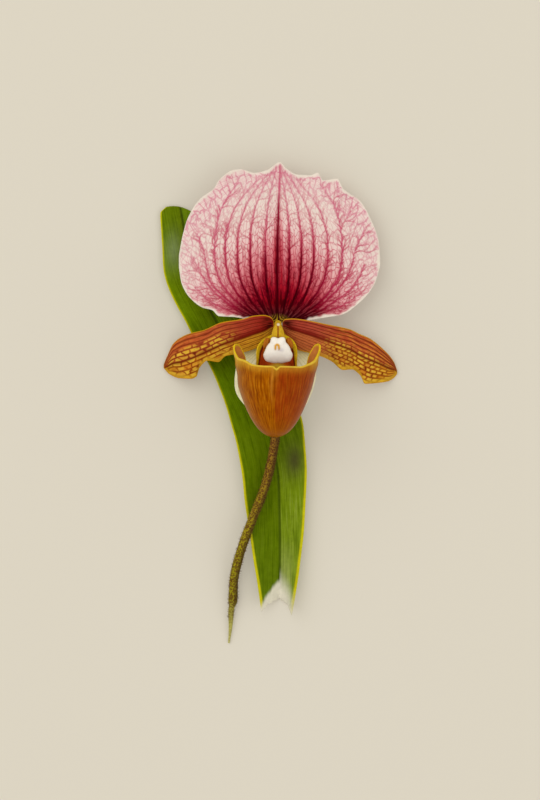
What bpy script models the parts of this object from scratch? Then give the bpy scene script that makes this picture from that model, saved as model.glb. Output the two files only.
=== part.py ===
"""A slipper orchid: one cut flower on its scape, lying face up on a strap leaf.

Run with: blender --background --python part.py

The flower looks up along +Z, its dorsal sepal points along +Y and its scape trails along -Y.
The origin is on the surface that the orchid lies on, under the middle of its outline.
Points and sizes are in millimetres, measured in plan from the middle of the flower,
and heights are measured from the surface. place_in_row turns them into metres.
"""

import math

import bmesh
import bpy
from mathutils import Vector

MM = 0.001

# Where the middle of the flower stands in the part's own frame.
FLOWER_X = -0.6
FLOWER_Y = 24.88

# Driving heights above the surface.
SEPAL_BASE_Z = 15.3
PETAL_BASE_Z = 17.6
SYNSEPAL_BASE_Z = 15.7

# Blade thicknesses.
SEPAL_THICKNESS = 0.8
PETAL_THICKNESS = 0.8
LIP_THICKNESS = 0.9
BRACT_THICKNESS = 0.6
LEAF_THICKNESS = 0.9

# Dorsal sepal: its lower and upper margins from left to right, and its form.
SEPAL_LOWER = (
    (-33.8, 21.5), (-32.9, 16.0), (-29.9, 10.9), (-25.5, 7.6), (-22.4, 6.8), (-20.2, 4.8),
    (-14.6, 4.4), (-8.5, 3.0), (-3.4, 1.6), (0.0, 1.1), (3.4, 1.6), (8.5, 2.8), (17.0, 4.4),
    (21.8, 5.3), (27.9, 9.5), (32.6, 15.2), (34.9, 22.0),
)
SEPAL_UPPER = (
    (-33.8, 25.5), (-32.6, 32.0), (-30.8, 38.2), (-26.5, 44.9), (-21.8, 48.4), (-20.2, 51.2),
    (-15.3, 54.6), (-12.6, 54.9), (-8.0, 53.7), (-3.7, 54.6), (0.7, 57.4), (2.7, 55.2),
    (6.5, 53.1), (11.0, 52.9), (13.5, 53.7), (15.3, 51.1), (20.2, 51.7), (22.2, 48.3),
    (27.9, 44.2), (32.0, 37.1), (34.4, 30.0), (34.9, 25.0),
)
SEPAL_LEAN = 0.16
SEPAL_HOOD = 3.0
SEPAL_SIDE_DROP = 5.5
SEPAL_CREASE = 1.1
SEPAL_RUFFLE = 0.6
SEPAL_RUFFLE_WAVES = (11, 19)

# Petals: margins from the tip to the base on the left, and from the base to the tip on the right.
PETAL_LEFT_LOWER = (
    (-39.1, -12.9), (-37.1, -15.0), (-33.6, -16.4), (-29.6, -16.6), (-27.8, -15.8), (-26.7, -12.8),
    (-24.0, -10.4), (-20.4, -10.9), (-17.7, -8.8), (-14.3, -8.2), (-7.5, -6.3), (-5.4, -4.8),
    (-2.1, -1.4),
)
PETAL_LEFT_UPPER = (
    (-39.1, -11.6), (-38.1, -9.2), (-35.7, -4.4), (-33.0, -2.3), (-29.9, -1.0), (-25.5, 0.0),
    (-19.0, 2.7), (-12.5, 3.7), (-7.8, 4.9), (-5.0, 5.1), (-2.1, 4.3),
)
PETAL_RIGHT_LOWER = (
    (2.1, -1.4), (5.4, -4.8), (6.8, -6.8), (10.5, -7.8), (15.2, -9.2), (18.4, -10.8),
    (22.1, -13.6), (25.2, -13.4), (27.9, -15.3), (29.8, -18.3), (33.0, -18.1), (37.4, -17.5),
    (39.6, -16.3), (40.8, -14.9),
)
PETAL_RIGHT_UPPER = (
    (2.1, 3.9), (5.1, 3.9), (8.2, 3.6), (17.0, 1.9), (24.5, 0.3), (27.9, -1.3), (31.0, -2.6),
    (36.7, -7.1), (39.6, -10.6), (40.8, -13.6),
)
PETAL_DROP = 16.3
PETAL_DROP_POWER = 2.1
PETAL_MIDRIB_SHARE = 0.54
PETAL_UPPER_ROLL = 0.9
PETAL_LOWER_ROLL = 1.5
PETAL_RUFFLE = 0.8
PETAL_RUFFLE_LENGTH = 7.5
PETAL_LOWEST = 0.55

# Synsepal, the two joined lower sepals behind the pouch.
SYNSEPAL_LOWER = (
    (-14.8, -19.0), (-14.4, -21.0), (-12.6, -24.1), (-6.8, -29.9), (-3.4, -33.0), (-0.8, -34.2),
    (1.8, -33.4), (5.0, -30.5), (8.2, -27.0), (10.4, -22.5), (12.2, -17.2), (13.0, -15.6),
)
SYNSEPAL_UPPER = (
    (-14.8, -16.5), (-14.2, -12.0), (-12.5, -8.6), (-9.0, -5.4), (-5.0, -3.2), (-2.5, -2.6),
    (0.0, -2.4), (2.5, -2.6), (5.0, -3.2), (9.0, -5.6), (11.5, -9.0), (12.8, -12.5), (13.0, -14.0),
)
SYNSEPAL_SLOPE = 0.13
SYNSEPAL_SIDE_DROP = 0.018

# Pouch of the lip: its rim height against the angle from the front, and its sections.
LIP_RIM = (
    (0.0, -13.3), (10.0, -12.8), (36.0, -12.7), (52.0, -11.7), (72.0, -10.2), (90.0, -7.3),
    (103.0, -5.1), (112.0, -4.7), (120.0, -5.2), (126.0, -7.4), (130.0, -12.0), (134.0, -15.2),
    (140.0, -16.3), (146.0, -15.2), (150.0, -9.6), (155.0, -6.4), (163.0, -4.0), (172.0, -2.6),
    (180.0, -2.1),
)
LIP_TOE_Y = -36.4
LIP_RIM_Y = -12.9
LIP_HALF_WIDTH = 13.5
LIP_HALF_DEPTH = 9.6
LIP_FULLNESS = 0.45
LIP_SWAY = -1.0
LIP_AXIS_Z = 26.0
LIP_TOE_RISE = 1.6
LIP_CLAW_CURL = 2.6
LIP_CLAW_DROP = 0.35

# Scape and its ovary: one route from the flower to the torn end as (x, y, height), and its radii.
SCAPE_ROUTE = (
    (0.0, 1.0, 13.7), (0.0, -2.0, 12.3), (-0.1, -7.0, 10.6), (-0.3, -14.0, 8.6),
    (-0.5, -22.0, 7.1), (-0.6, -29.9, 6.2), (-0.9, -36.4, 5.6), (-2.0, -43.5, 5.0),
    (-3.2, -49.0, 4.8), (-5.3, -55.8, 5.1), (-8.5, -63.9, 5.9), (-11.6, -72.1, 5.6),
    (-13.6, -78.5, 4.2), (-15.0, -84.7, 2.9), (-15.4, -92.1, 2.1), (-16.0, -95.9, 1.6),
    (-16.2, -101.0, 1.2), (-16.8, -107.1, 0.45),
)
SCAPE_RADIUS = 1.5
OVARY_END_AT = 0.27
OVARY_RADIUS = 2.1
OVARY_TOP_RADIUS = 1.6
OVARY_RIB = 0.09
OVARY_RIBS = 6
SCAPE_TEAR_AT = 0.86
SCAPE_TEAR_RADIUS = 0.85
SCAPE_TIP_RADIUS = 0.3

# Bract, the sheath round the foot of the ovary.
BRACT_FROM, BRACT_TO = 0.27, 0.13
BRACT_GAP = 0.35
BRACT_SPREAD = 2.7

# Column, staminode and anthers in the middle of the flower.
COLUMN_ROUTE = ((0.0, 2.0, 15.5), (0.0, 2.0, 18.0), (0.0, 0.4, 21.6), (0.0, -3.0, 25.2))
COLUMN_RADIUS = 1.75
STIGMA_CENTRE = (0.0, -3.6, 21.4)
STIGMA_HALF = (2.2, 2.8, 1.1)
STAMINODE_OUTLINE = (
    (0.0, -2.9), (2.2, -2.6), (3.7, -4.3), (4.6, -6.8), (4.95, -8.7), (4.3, -10.4), (2.5, -11.1),
    (0.0, -11.3),
)
STAMINODE_MIDDLE_Y = -7.2
STAMINODE_Z = 27.0
STAMINODE_HALF_THICKNESS = 0.8
STAMINODE_TOOTH = (-0.3, -5.4)
STAMINODE_TOOTH_HEIGHT = 1.0
STAMINODE_TOOTH_RADIUS = 0.75
ANTHER_CENTRE = (3.35, -3.2, 21.9)
ANTHER_HALF = (1.15, 1.5, 1.1)

# Leaf: its midrib from tip to base, the width of each half, and the height of its margins.
LEAF_MIDRIB = (
    (-33.3, 41.8), (-31.3, 30.6), (-28.9, 18.7), (-23.1, 6.8), (-15.3, -6.8), (-8.2, -20.4),
    (-3.6, -32.3), (-1.4, -40.8), (0.0, -49.3), (0.5, -61.2), (0.7, -74.8), (0.5, -95.2),
)
LEAF_LEFT_WIDTH = (
    (0.0, 4.6), (0.01, 6.7), (0.04, 7.2), (0.1, 8.0), (0.18, 8.0), (0.27, 9.0), (0.36, 9.1),
    (0.45, 9.9), (0.55, 10.9), (0.66, 11.5), (0.72, 11.3), (0.81, 10.0), (0.88, 8.7),
    (0.93, 7.5), (1.0, 5.9),
)
LEAF_RIGHT_WIDTH = (
    (0.0, 4.6), (0.02, 6.0), (0.06, 7.3), (0.15, 8.2), (0.3, 9.6), (0.45, 10.8), (0.56, 11.5),
    (0.63, 10.4), (0.72, 9.3), (0.82, 8.1), (0.88, 7.0), (0.93, 6.1), (1.0, 4.1),
)
LEAF_RISE = (
    (0.0, 0.5), (0.1, 1.2), (0.3, 2.3), (0.5, 3.0), (0.75, 3.0), (0.85, 3.6), (1.0, 5.2),
)
LEAF_TIP_SKEW = 0.5
LEAF_NOTCH = 8.6
LEAF_KEEL_SHARE = 0.09
LEAF_CHANNEL_POWER = 1.25


def place_in_row(x, y, z):
    """A point measured from the middle of the flower, as metres in the part's own frame."""
    return Vector((x + FLOWER_X, y + FLOWER_Y, z)) * MM


def smooth_step(low, high, value):
    """0 below low and 1 above high, with a smooth rise between."""
    share = min(1.0, max(0.0, (value - low) / (high - low)))
    return share * share * (3.0 - 2.0 * share)


def through(points, x):
    """The value at x of a smooth curve through the points, which never overshoots them."""
    xs = [p[0] for p in points]
    ys = [p[1] for p in points]
    if x <= xs[0]:
        return ys[0]
    if x >= xs[-1]:
        return ys[-1]
    steps = [xs[i + 1] - xs[i] for i in range(len(xs) - 1)]
    rises = [(ys[i + 1] - ys[i]) / steps[i] for i in range(len(steps))]
    slopes = [rises[0]]
    for before, after in zip(rises, rises[1:]):
        slopes.append(2.0 * before * after / (before + after) if before * after > 0.0 else 0.0)
    slopes.append(rises[-1])
    i = max(k for k in range(len(steps)) if xs[k] <= x)
    s = (x - xs[i]) / steps[i]
    return (
        ys[i] * (1 + 2 * s) * (1 - s) ** 2
        + ys[i + 1] * s * s * (3 - 2 * s)
        + steps[i] * slopes[i] * s * (1 - s) ** 2
        - steps[i] * slopes[i + 1] * s * s * (1 - s)
    )


def along(route, share):
    """The point at a share of the way along a smooth curve through a route's points."""
    points = [Vector(p) for p in route]
    lengths = [0.0]
    for a, b in zip(points, points[1:]):
        lengths.append(lengths[-1] + (b - a).length)
    reach = share * lengths[-1]
    axes = range(len(points[0]))
    tangents = []
    for i in range(len(points)):
        a, b = max(i - 1, 0), min(i + 1, len(points) - 1)
        tangents.append((points[b] - points[a]) / (lengths[b] - lengths[a]))
    i = max(k for k in range(len(points) - 1) if lengths[k] <= reach or k == 0)
    span = lengths[i + 1] - lengths[i]
    s = (reach - lengths[i]) / span
    return Vector([
        points[i][k] * (1 + 2 * s) * (1 - s) ** 2
        + points[i + 1][k] * s * s * (3 - 2 * s)
        + span * tangents[i][k] * s * (1 - s) ** 2
        - span * tangents[i + 1][k] * s * s * (1 - s)
        for k in axes
    ])


def heading(route, share):
    """The direction of a route there, as a unit vector."""
    step = 0.01
    ahead = along(route, min(1.0, share + step))
    behind = along(route, max(0.0, share - step))
    return (ahead - behind).normalized()


def finish(obj, colour, roughness):
    """Links an object into the orchid's collection with its own material."""
    material = bpy.data.materials.new(obj.name)
    material.use_nodes = True
    shader = material.node_tree.nodes["Principled BSDF"]
    shader.inputs["Base Color"].default_value = (*colour, 1.0)
    shader.inputs["Roughness"].default_value = roughness
    shader.inputs["Metallic"].default_value = 0.0
    obj.data.materials.append(material)
    if obj.type == "MESH":
        obj.data.shade_smooth()
        obj.data.set_sharp_from_angle(angle=math.radians(60))
    ORCHID.objects.link(obj)
    return obj


def grid_mesh(name, columns, rows, place):
    """A grid of triangles whose point (u, v), each from 0 to 1, goes to place(u, v)."""
    bm = bmesh.new()
    bmesh.ops.create_grid(bm, x_segments=columns, y_segments=rows, size=0.5)
    for vert in bm.verts:
        vert.co = place(vert.co.x + 0.5, vert.co.y + 0.5)
    bmesh.ops.remove_doubles(bm, verts=bm.verts, dist=0.01 * MM)
    bmesh.ops.triangulate(bm, faces=bm.faces, quad_method="FIXED")
    mesh = bpy.data.meshes.new(name)
    bm.to_mesh(mesh)
    bm.free()
    return mesh


def blade(name, columns, rows, place, thickness):
    """A grid given its thickness behind, so that both faces are split alike."""
    obj = bpy.data.objects.new(name, grid_mesh(name, columns, rows, place))
    solidify = obj.modifiers.new("thickness", "SOLIDIFY")
    solidify.thickness = thickness * MM
    solidify.offset = -1.0
    return obj


def spaced(u):
    """Moves the columns of a blade closer together towards both ends."""
    return 0.5 - 0.5 * math.cos(math.pi * u) if 0.0 < u < 1.0 else u


def between_margins(lower, upper, u, v):
    """The plan position of a blade's point, column by column from its lower to its upper margin."""
    even = 0.35
    share = even * u + (1.0 - even) * spaced(u)
    x = lower[0][0] + share * (lower[-1][0] - lower[0][0])
    low, high = through(lower, x), through(upper, x)
    return x, low + v * (high - low)


def dorsal_sepal():
    """The broad upper sepal: it leans back, its sides drop and its margin is ruffled."""
    middle_y, top_y = 27.5, 57.4
    half_width = 34.5

    def place(u, v):
        x, y = between_margins(SEPAL_LOWER, SEPAL_UPPER, u, v)
        climb = (y - SEPAL_LOWER[9][1]) / top_y
        across = x / half_width
        reach = math.hypot(across, (y - middle_y) / (top_y - middle_y))
        angle = math.atan2(y - middle_y, x)
        z = SEPAL_BASE_Z - SEPAL_LEAN * y + SEPAL_HOOD * climb ** 3
        z -= SEPAL_SIDE_DROP * across ** 2 * (1.0 - 0.6 * climb)
        z -= SEPAL_CREASE * math.exp(-(x / 2.6) ** 2) * smooth_step(0.1, 0.9, climb)
        ruffle = sum(math.sin(waves * angle + waves) for waves in SEPAL_RUFFLE_WAVES)
        z += SEPAL_RUFFLE * ruffle * smooth_step(0.68, 1.05, reach)
        return place_in_row(x, y, z)

    finish(blade("dorsal_sepal", 46, 18, place, SEPAL_THICKNESS), (0.80, 0.42, 0.48), 0.55)


def petal(name, lower, upper, phase):
    """One strap petal: it arches back to rest its tip on the surface, and its lower half rolls back."""
    reach = max(abs(point[0]) for point in lower)

    def place(u, v):
        x, y = between_margins(lower, upper, u, v)
        out = abs(x) / reach
        z = PETAL_BASE_Z - PETAL_DROP * out ** PETAL_DROP_POWER
        if v > PETAL_MIDRIB_SHARE:
            z -= PETAL_UPPER_ROLL * ((v - PETAL_MIDRIB_SHARE) / (1.0 - PETAL_MIDRIB_SHARE)) ** 2
        else:
            below = 1.0 - v / PETAL_MIDRIB_SHARE
            wave = math.sin(2.0 * math.pi * abs(x) / PETAL_RUFFLE_LENGTH + phase)
            z -= PETAL_LOWER_ROLL * below ** 2
            z += PETAL_RUFFLE * wave * below ** 2 * smooth_step(0.2, 0.45, out)
        softness = 0.6
        z = PETAL_LOWEST + softness * math.log1p(math.exp((z - PETAL_LOWEST) / softness))
        return place_in_row(x, y, z)

    finish(blade(name, 30, 8, place, PETAL_THICKNESS), (0.55, 0.16, 0.04), 0.45)


def synsepal():
    """The pale lower sepal, which slopes back over the ovary behind the pouch."""

    def place(u, v):
        x, y = between_margins(SYNSEPAL_LOWER, SYNSEPAL_UPPER, u, v)
        z = SYNSEPAL_BASE_Z + SYNSEPAL_SLOPE * y - SYNSEPAL_SIDE_DROP * x * x
        return place_in_row(x, y, z)

    finish(blade("synsepal", 20, 9, place, SEPAL_THICKNESS), (0.72, 0.70, 0.48), 0.55)


def lip_point(angle, height):
    """A point of the pouch's outer face, at an angle in degrees from the front and a height y."""
    share = max(0.0, (height - LIP_TOE_Y) / (LIP_RIM_Y - LIP_TOE_Y))
    turn = math.radians(angle)
    half_width = LIP_HALF_WIDTH * min(share, 1.12) ** LIP_FULLNESS
    half_depth = LIP_HALF_DEPTH * min(1.0, share / 0.72) ** LIP_FULLNESS
    half_depth -= 1.2 * smooth_step(0.75, 1.2, share)
    x = LIP_SWAY * (1.0 - 0.22 * share ** 4) + half_width * math.sin(turn)
    z = LIP_AXIS_Z + LIP_TOE_RISE * (1.0 - share) + half_depth * math.cos(turn)
    margin = abs(abs(angle) - 180.0)
    claw = smooth_step(12.0, 30.0, margin) * (1.0 - smooth_step(33.0, 46.0, margin))
    z += LIP_CLAW_CURL * claw * smooth_step(-18.0, -9.0, height)
    z -= LIP_CLAW_DROP * smooth_step(-10.0, -2.0, height) * smooth_step(120.0, 160.0, abs(angle))
    return x, height, z


def lip():
    """The pouch: an open slipper with a raised flap at each side and a claw behind its mouth."""

    def place(u, v):
        angle = 360.0 * u - 180.0
        rim = through(LIP_RIM, abs(angle))
        height = LIP_TOE_Y + (rim - LIP_TOE_Y) * v * v
        return place_in_row(*lip_point(-angle, height))

    finish(blade("lip", 54, 12, place, LIP_THICKNESS), (0.45, 0.17, 0.02), 0.4)


def rod(name, route, points, radius_at, base_radius, sides_per_quarter):
    """A round curve along a route, with a radius that changes along it."""
    curve = bpy.data.curves.new(name, "CURVE")
    curve.dimensions = "3D"
    curve.bevel_depth = base_radius * MM
    curve.bevel_resolution = sides_per_quarter
    curve.use_fill_caps = True
    spline = curve.splines.new("POLY")
    spline.points.add(points - 1)
    for i, point in enumerate(spline.points):
        share = i / (points - 1)
        point.co = (*place_in_row(*along(route, share)), 1.0)
        point.radius = radius_at(share) / base_radius
    return bpy.data.objects.new(name, curve)


def scape():
    """The hairy flower stem: it swells into the ribbed ovary above and is torn to a point below."""
    section_name = "scape_section"
    profile = bpy.data.curves.new(section_name, "CURVE")
    profile.dimensions = "2D"
    ring = profile.splines.new("POLY")
    sides = 3 * OVARY_RIBS
    ring.points.add(sides - 1)
    ring.use_cyclic_u = True
    for i, point in enumerate(ring.points):
        turn = -2.0 * math.pi * i / sides
        radius = SCAPE_RADIUS * (1.0 + OVARY_RIB * math.cos(OVARY_RIBS * turn)) * MM
        point.co = (radius * math.cos(turn), radius * math.sin(turn), 0.0, 1.0)
    section = bpy.data.objects.new(section_name, profile)
    section.hide_render = True
    section.display_type = "WIRE"
    GUIDES.objects.link(section)

    def radius_at(share):
        swell = math.sin(math.pi * min(1.0, share / OVARY_END_AT)) ** 0.7
        foot = smooth_step(0.0, OVARY_END_AT, share)
        radius = OVARY_TOP_RADIUS + (SCAPE_RADIUS - OVARY_TOP_RADIUS) * foot
        radius += (OVARY_RADIUS - SCAPE_RADIUS) * swell
        torn = smooth_step(SCAPE_TEAR_AT, SCAPE_TEAR_AT + 0.03, share)
        radius += (SCAPE_TEAR_RADIUS - SCAPE_RADIUS) * torn
        last = smooth_step(SCAPE_TEAR_AT + 0.03, 1.0, share)
        return radius + (SCAPE_TIP_RADIUS - SCAPE_TEAR_RADIUS) * last

    stem = rod("scape", SCAPE_ROUTE, 46, radius_at, SCAPE_RADIUS, 0)
    stem.data.bevel_mode = "OBJECT"
    stem.data.bevel_object = section
    finish(stem, (0.22, 0.20, 0.05), 0.7)


def bract():
    """The small pointed sheath that wraps the foot of the ovary, open along its upper side."""

    def place(u, v):
        share = BRACT_FROM + (BRACT_TO - BRACT_FROM) * v
        centre, forward = along(SCAPE_ROUTE, share), -heading(SCAPE_ROUTE, share)
        side = Vector((1.0, 0.0, 0.0))
        up = side.cross(forward).normalized()
        spread = BRACT_SPREAD * (1.0 - 0.97 * v ** 2.5)
        turn = spread * (2.0 * u - 1.0)
        swell = smooth_step(0.0, 0.5, v) * (OVARY_RADIUS - SCAPE_RADIUS) + 0.5 * v * v
        radius = (SCAPE_RADIUS + swell) * (1.0 + OVARY_RIB) + BRACT_GAP + BRACT_THICKNESS
        return place_in_row(*(centre + radius * (side * math.sin(turn) - up * math.cos(turn))))

    sheath = blade("bract", 14, 8, place, BRACT_THICKNESS)
    finish(sheath, (0.24, 0.30, 0.08), 0.6)


def as_mesh(obj):
    """The same object as a closed mesh, which a Boolean can join."""
    bpy.context.scene.collection.objects.link(obj)
    bpy.context.view_layer.update()
    graph = bpy.context.evaluated_depsgraph_get()
    mesh = bpy.data.meshes.new_from_object(obj.evaluated_get(graph))
    bm = bmesh.new()
    bm.from_mesh(mesh)
    bmesh.ops.remove_doubles(bm, verts=bm.verts, dist=0.01 * MM)
    bmesh.ops.recalc_face_normals(bm, faces=bm.faces)
    bm.to_mesh(mesh)
    bm.free()
    made = bpy.data.objects.new(obj.name, mesh)
    made.matrix_world = obj.matrix_world
    name = obj.name
    bpy.data.objects.remove(obj)
    made.name = name
    return made


def ellipsoid(name, centre, half, segments, rings):
    """A round body with a half size along each axis."""
    bm = bmesh.new()
    bmesh.ops.create_uvsphere(bm, u_segments=segments, v_segments=rings, radius=1.0)
    for vert in bm.verts:
        vert.co = place_in_row(*(c + h * p for c, h, p in zip(centre, half, vert.co)))
    mesh = bpy.data.meshes.new(name)
    bm.to_mesh(mesh)
    bm.free()
    return bpy.data.objects.new(name, mesh)


def column():
    """The short column that carries the staminode, with the stigma on its underside."""
    stalk = as_mesh(rod("column", COLUMN_ROUTE, 10, lambda share: COLUMN_RADIUS, COLUMN_RADIUS, 4))
    stigma = ellipsoid("stigma", STIGMA_CENTRE, STIGMA_HALF, 14, 8)
    stigma.hide_render = True
    stigma.display_type = "WIRE"
    GUIDES.objects.link(stigma)
    union = stalk.modifiers.new("stigma", "BOOLEAN")
    union.operation = "UNION"
    union.object = stigma
    finish(stalk, (0.62, 0.50, 0.05), 0.5)


def staminode():
    """The white shield in front of the column: a domed plate with a small yellow tooth."""
    points = [Vector(p) for p in STAMINODE_OUTLINE]
    middle = Vector((0.0, STAMINODE_MIDDLE_Y))
    reach_at = sorted(
        (math.degrees(math.atan2(p.x, p.y - middle.y)), (p - middle).length) for p in points
    )
    bm = bmesh.new()
    bmesh.ops.create_uvsphere(bm, u_segments=26, v_segments=14, radius=1.0)
    for vert in bm.verts:
        flat = math.hypot(vert.co.x, vert.co.y)
        turn = math.degrees(math.atan2(abs(vert.co.x), vert.co.y))
        reach = flat * through(reach_at, turn)
        x = reach * math.copysign(math.sin(math.radians(turn)), vert.co.x)
        y = middle.y + reach * math.cos(math.radians(turn))
        tooth = math.hypot(x - STAMINODE_TOOTH[0], y - STAMINODE_TOOTH[1]) / STAMINODE_TOOTH_RADIUS
        z = STAMINODE_Z + STAMINODE_HALF_THICKNESS * vert.co.z - 0.9 * flat * flat
        if vert.co.z > 0.0:
            z += STAMINODE_TOOTH_HEIGHT * math.exp(-tooth * tooth)
        vert.co = place_in_row(x, y, z)
    mesh = bpy.data.meshes.new("staminode")
    bm.to_mesh(mesh)
    bm.free()
    finish(bpy.data.objects.new("staminode", mesh), (0.86, 0.84, 0.78), 0.5)


def anthers():
    """The two fertile anthers, one on each side of the column behind the shield."""
    for name, side in (("anther_left", -1.0), ("anther_right", 1.0)):
        centre = (side * ANTHER_CENTRE[0], ANTHER_CENTRE[1], ANTHER_CENTRE[2])
        finish(ellipsoid(name, centre, ANTHER_HALF, 12, 8), (0.70, 0.48, 0.06), 0.45)


def leaf():
    """The channelled strap leaf. Its keel lies flat on the surface and its base is torn to a notch."""
    base_share = 1.0 - LEAF_NOTCH / 150.0

    def surface(u, v):
        side = 1.0 - 2.0 * u
        part = abs(side)
        end = base_share + (1.0 - base_share) * part ** 1.1
        share = end * (1.0 - v)
        tip = LEAF_TIP_SKEW * (1.0 - part * part) * smooth_step(0.1, 0.0, share)
        centre, forward = along(LEAF_MIDRIB, share), heading(LEAF_MIDRIB, share)
        across = Vector((forward.y, -forward.x))
        widths = LEAF_LEFT_WIDTH if side > 0.0 else LEAF_RIGHT_WIDTH
        plan = centre + across * side * through(widths, share) - forward * tip
        bank = max(0.0, (part - LEAF_KEEL_SHARE) / (1.0 - LEAF_KEEL_SHARE))
        height = LEAF_THICKNESS + through(LEAF_RISE, share) * bank ** LEAF_CHANNEL_POWER
        return plan.x, plan.y, height

    keel = LEAF_KEEL_SHARE
    stations = (0.0, 0.12, 0.26, 0.40, 0.5 - 0.5 * keel, 0.5 + 0.5 * keel, 0.60, 0.74, 0.88, 1.0)
    columns = len(stations) - 1

    def place(u, v):
        return place_in_row(*surface(stations[round(u * columns)], v))

    bm = bmesh.new()
    bm.from_mesh(grid_mesh("leaf", columns, 44, place))
    top = list(bm.verts)
    made = bmesh.ops.extrude_face_region(bm, geom=list(bm.faces))
    for vert in top:
        vert.co.z -= LEAF_THICKNESS * MM
    bmesh.ops.recalc_face_normals(bm, faces=bm.faces)
    mesh = bpy.data.meshes.new("leaf")
    bm.to_mesh(mesh)
    bm.free()
    assert made
    finish(bpy.data.objects.new("leaf", mesh), (0.10, 0.18, 0.01), 0.4)


for old in list(bpy.data.objects):
    bpy.data.objects.remove(old)
ORCHID = bpy.data.collections.new("slipper_orchid")
GUIDES = bpy.data.collections.new("guides")
bpy.context.scene.collection.children.link(ORCHID)
bpy.context.scene.collection.children.link(GUIDES)

leaf()
scape()
bract()
dorsal_sepal()
synsepal()
petal("petal_left", PETAL_LEFT_LOWER, PETAL_LEFT_UPPER, 0.6)
petal("petal_right", PETAL_RIGHT_LOWER, PETAL_RIGHT_UPPER, 2.4)
lip()
column()
staminode()
anthers()
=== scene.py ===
"""A slipper orchid, cut and laid face up on a strap leaf, seen from above.

Sizes are in millimetres and start at the middle of the flower. set_down moves them into the frame.
"""

import math
import random

import bpy
import numpy as np
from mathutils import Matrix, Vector, kdtree


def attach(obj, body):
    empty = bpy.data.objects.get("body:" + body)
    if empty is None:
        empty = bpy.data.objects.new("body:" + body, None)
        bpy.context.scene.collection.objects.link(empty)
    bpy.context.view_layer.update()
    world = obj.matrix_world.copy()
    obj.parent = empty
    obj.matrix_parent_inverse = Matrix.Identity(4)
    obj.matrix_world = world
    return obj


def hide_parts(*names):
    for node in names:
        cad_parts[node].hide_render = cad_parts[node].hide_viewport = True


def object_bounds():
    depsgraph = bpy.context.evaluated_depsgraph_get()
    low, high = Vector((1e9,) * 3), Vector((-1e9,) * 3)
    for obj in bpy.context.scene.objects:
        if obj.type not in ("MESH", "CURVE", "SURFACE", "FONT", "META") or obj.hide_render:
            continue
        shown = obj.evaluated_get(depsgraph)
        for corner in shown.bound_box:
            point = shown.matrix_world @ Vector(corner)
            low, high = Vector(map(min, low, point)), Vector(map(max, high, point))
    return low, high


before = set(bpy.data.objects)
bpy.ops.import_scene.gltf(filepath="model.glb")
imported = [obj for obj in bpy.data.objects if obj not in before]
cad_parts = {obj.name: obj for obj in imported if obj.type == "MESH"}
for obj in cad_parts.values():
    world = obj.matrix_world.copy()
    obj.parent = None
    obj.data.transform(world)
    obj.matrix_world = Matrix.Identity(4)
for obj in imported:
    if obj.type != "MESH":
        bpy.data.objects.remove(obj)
cad_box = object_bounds()


# Dorsal sepal: the broad upper sepal, one thin blade with a ruffled white margin.
# It grows from the top of the ovary and leans back, and crimson veins fork through it into a net.
SEPAL_LOWER = (
    (-33.8, 21.5), (-32.9, 16), (-29.9, 10.9), (-25.5, 7.6), (-22.4, 6.8), (-20.2, 4.8),
    (-14.6, 4.4), (-8.5, 3), (-3.4, 1.6), (0, 1.1), (3.4, 1.6), (8.5, 2.8), (17, 4.4),
    (21.8, 5.3), (27.9, 9.5), (32.6, 15.2), (34.9, 22),
)
SEPAL_UPPER = (
    (-33.8, 25.5), (-32.6, 32), (-30.8, 38.2), (-26.5, 44.9), (-21.8, 48.4), (-20.2, 51.2),
    (-15.3, 54.6), (-12.6, 54.9), (-8, 53.7), (-3.7, 54.6), (0.7, 57.4), (2.7, 55.2),
    (6.5, 53.1), (11, 52.9), (13.5, 53.7), (15.3, 51.1), (20.2, 51.7), (22.2, 48.3),
    (27.9, 44.2), (32, 37.1), (34.4, 30), (34.9, 25),
)
SEPAL_COLUMNS, SEPAL_ROWS = ((250, 190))
SEPAL_LEFT, SEPAL_RIGHT = -33.8, 34.9
SEPAL_MIDDLE_Y = 27.5
BLADE_THICKNESS = 0.8
VEIN_RELIEF = 0.06
MM = 0.001
FRAME_X, FRAME_Y = 0.6, -24.88


def rise(low, high, value):
    """0 below low and 1 above high, with a smooth rise between."""
    share = np.clip((value - low) / (high - low), 0.0, 1.0)
    return share * share * (3.0 - 2.0 * share)


def fall(low, high, value):
    """1 below low and 0 above high, with a smooth fall between."""
    return 1.0 - rise(low, high, value)


def ridge(away, width):
    """1 on a line, and less the further a point is away from it, by the line's width."""
    return np.exp(-(away / width) ** 2)


def blend(s, start, end, leaving, arriving):
    """A smooth step between two values, with its slope at each end."""
    return (
        start * (1 + 2 * s) * (1 - s) ** 2
        + end * s * s * (3 - 2 * s)
        + leaving * s * (1 - s) ** 2
        - arriving * s * s * (1 - s)
    )


def through(points, x):
    """A smooth curve through the points that never overshoots them."""
    xs, ys = np.array(points, float).T
    steps = np.diff(xs)
    rises = np.diff(ys) / steps
    before, after = rises[:-1], rises[1:]
    turning = before * after <= 0.0
    total = np.where(turning, 1.0, before + after)
    inner = np.where(turning, 0.0, 2.0 * before * after / total)
    slopes = np.concatenate((rises[:1], inner, rises[-1:]))
    x = np.clip(x, xs[0], xs[-1])
    i = np.clip(np.searchsorted(xs, x, side="right") - 1, 0, len(steps) - 1)
    s = (x - xs[i]) / steps[i]
    return blend(s, ys[i], ys[i + 1], steps[i] * slopes[i], steps[i] * slopes[i + 1])


def set_down(x, y, z):
    """Points measured from the flower's middle, as metres in the frame."""
    return np.column_stack((x - FRAME_X, y - FRAME_Y, z)) * MM


def points_of(obj):
    """The coordinates of a mesh's points, one after another."""
    flat = np.empty(len(obj.data.vertices) * 3)
    obj.data.vertices.foreach_get("co", flat)
    return flat


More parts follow.
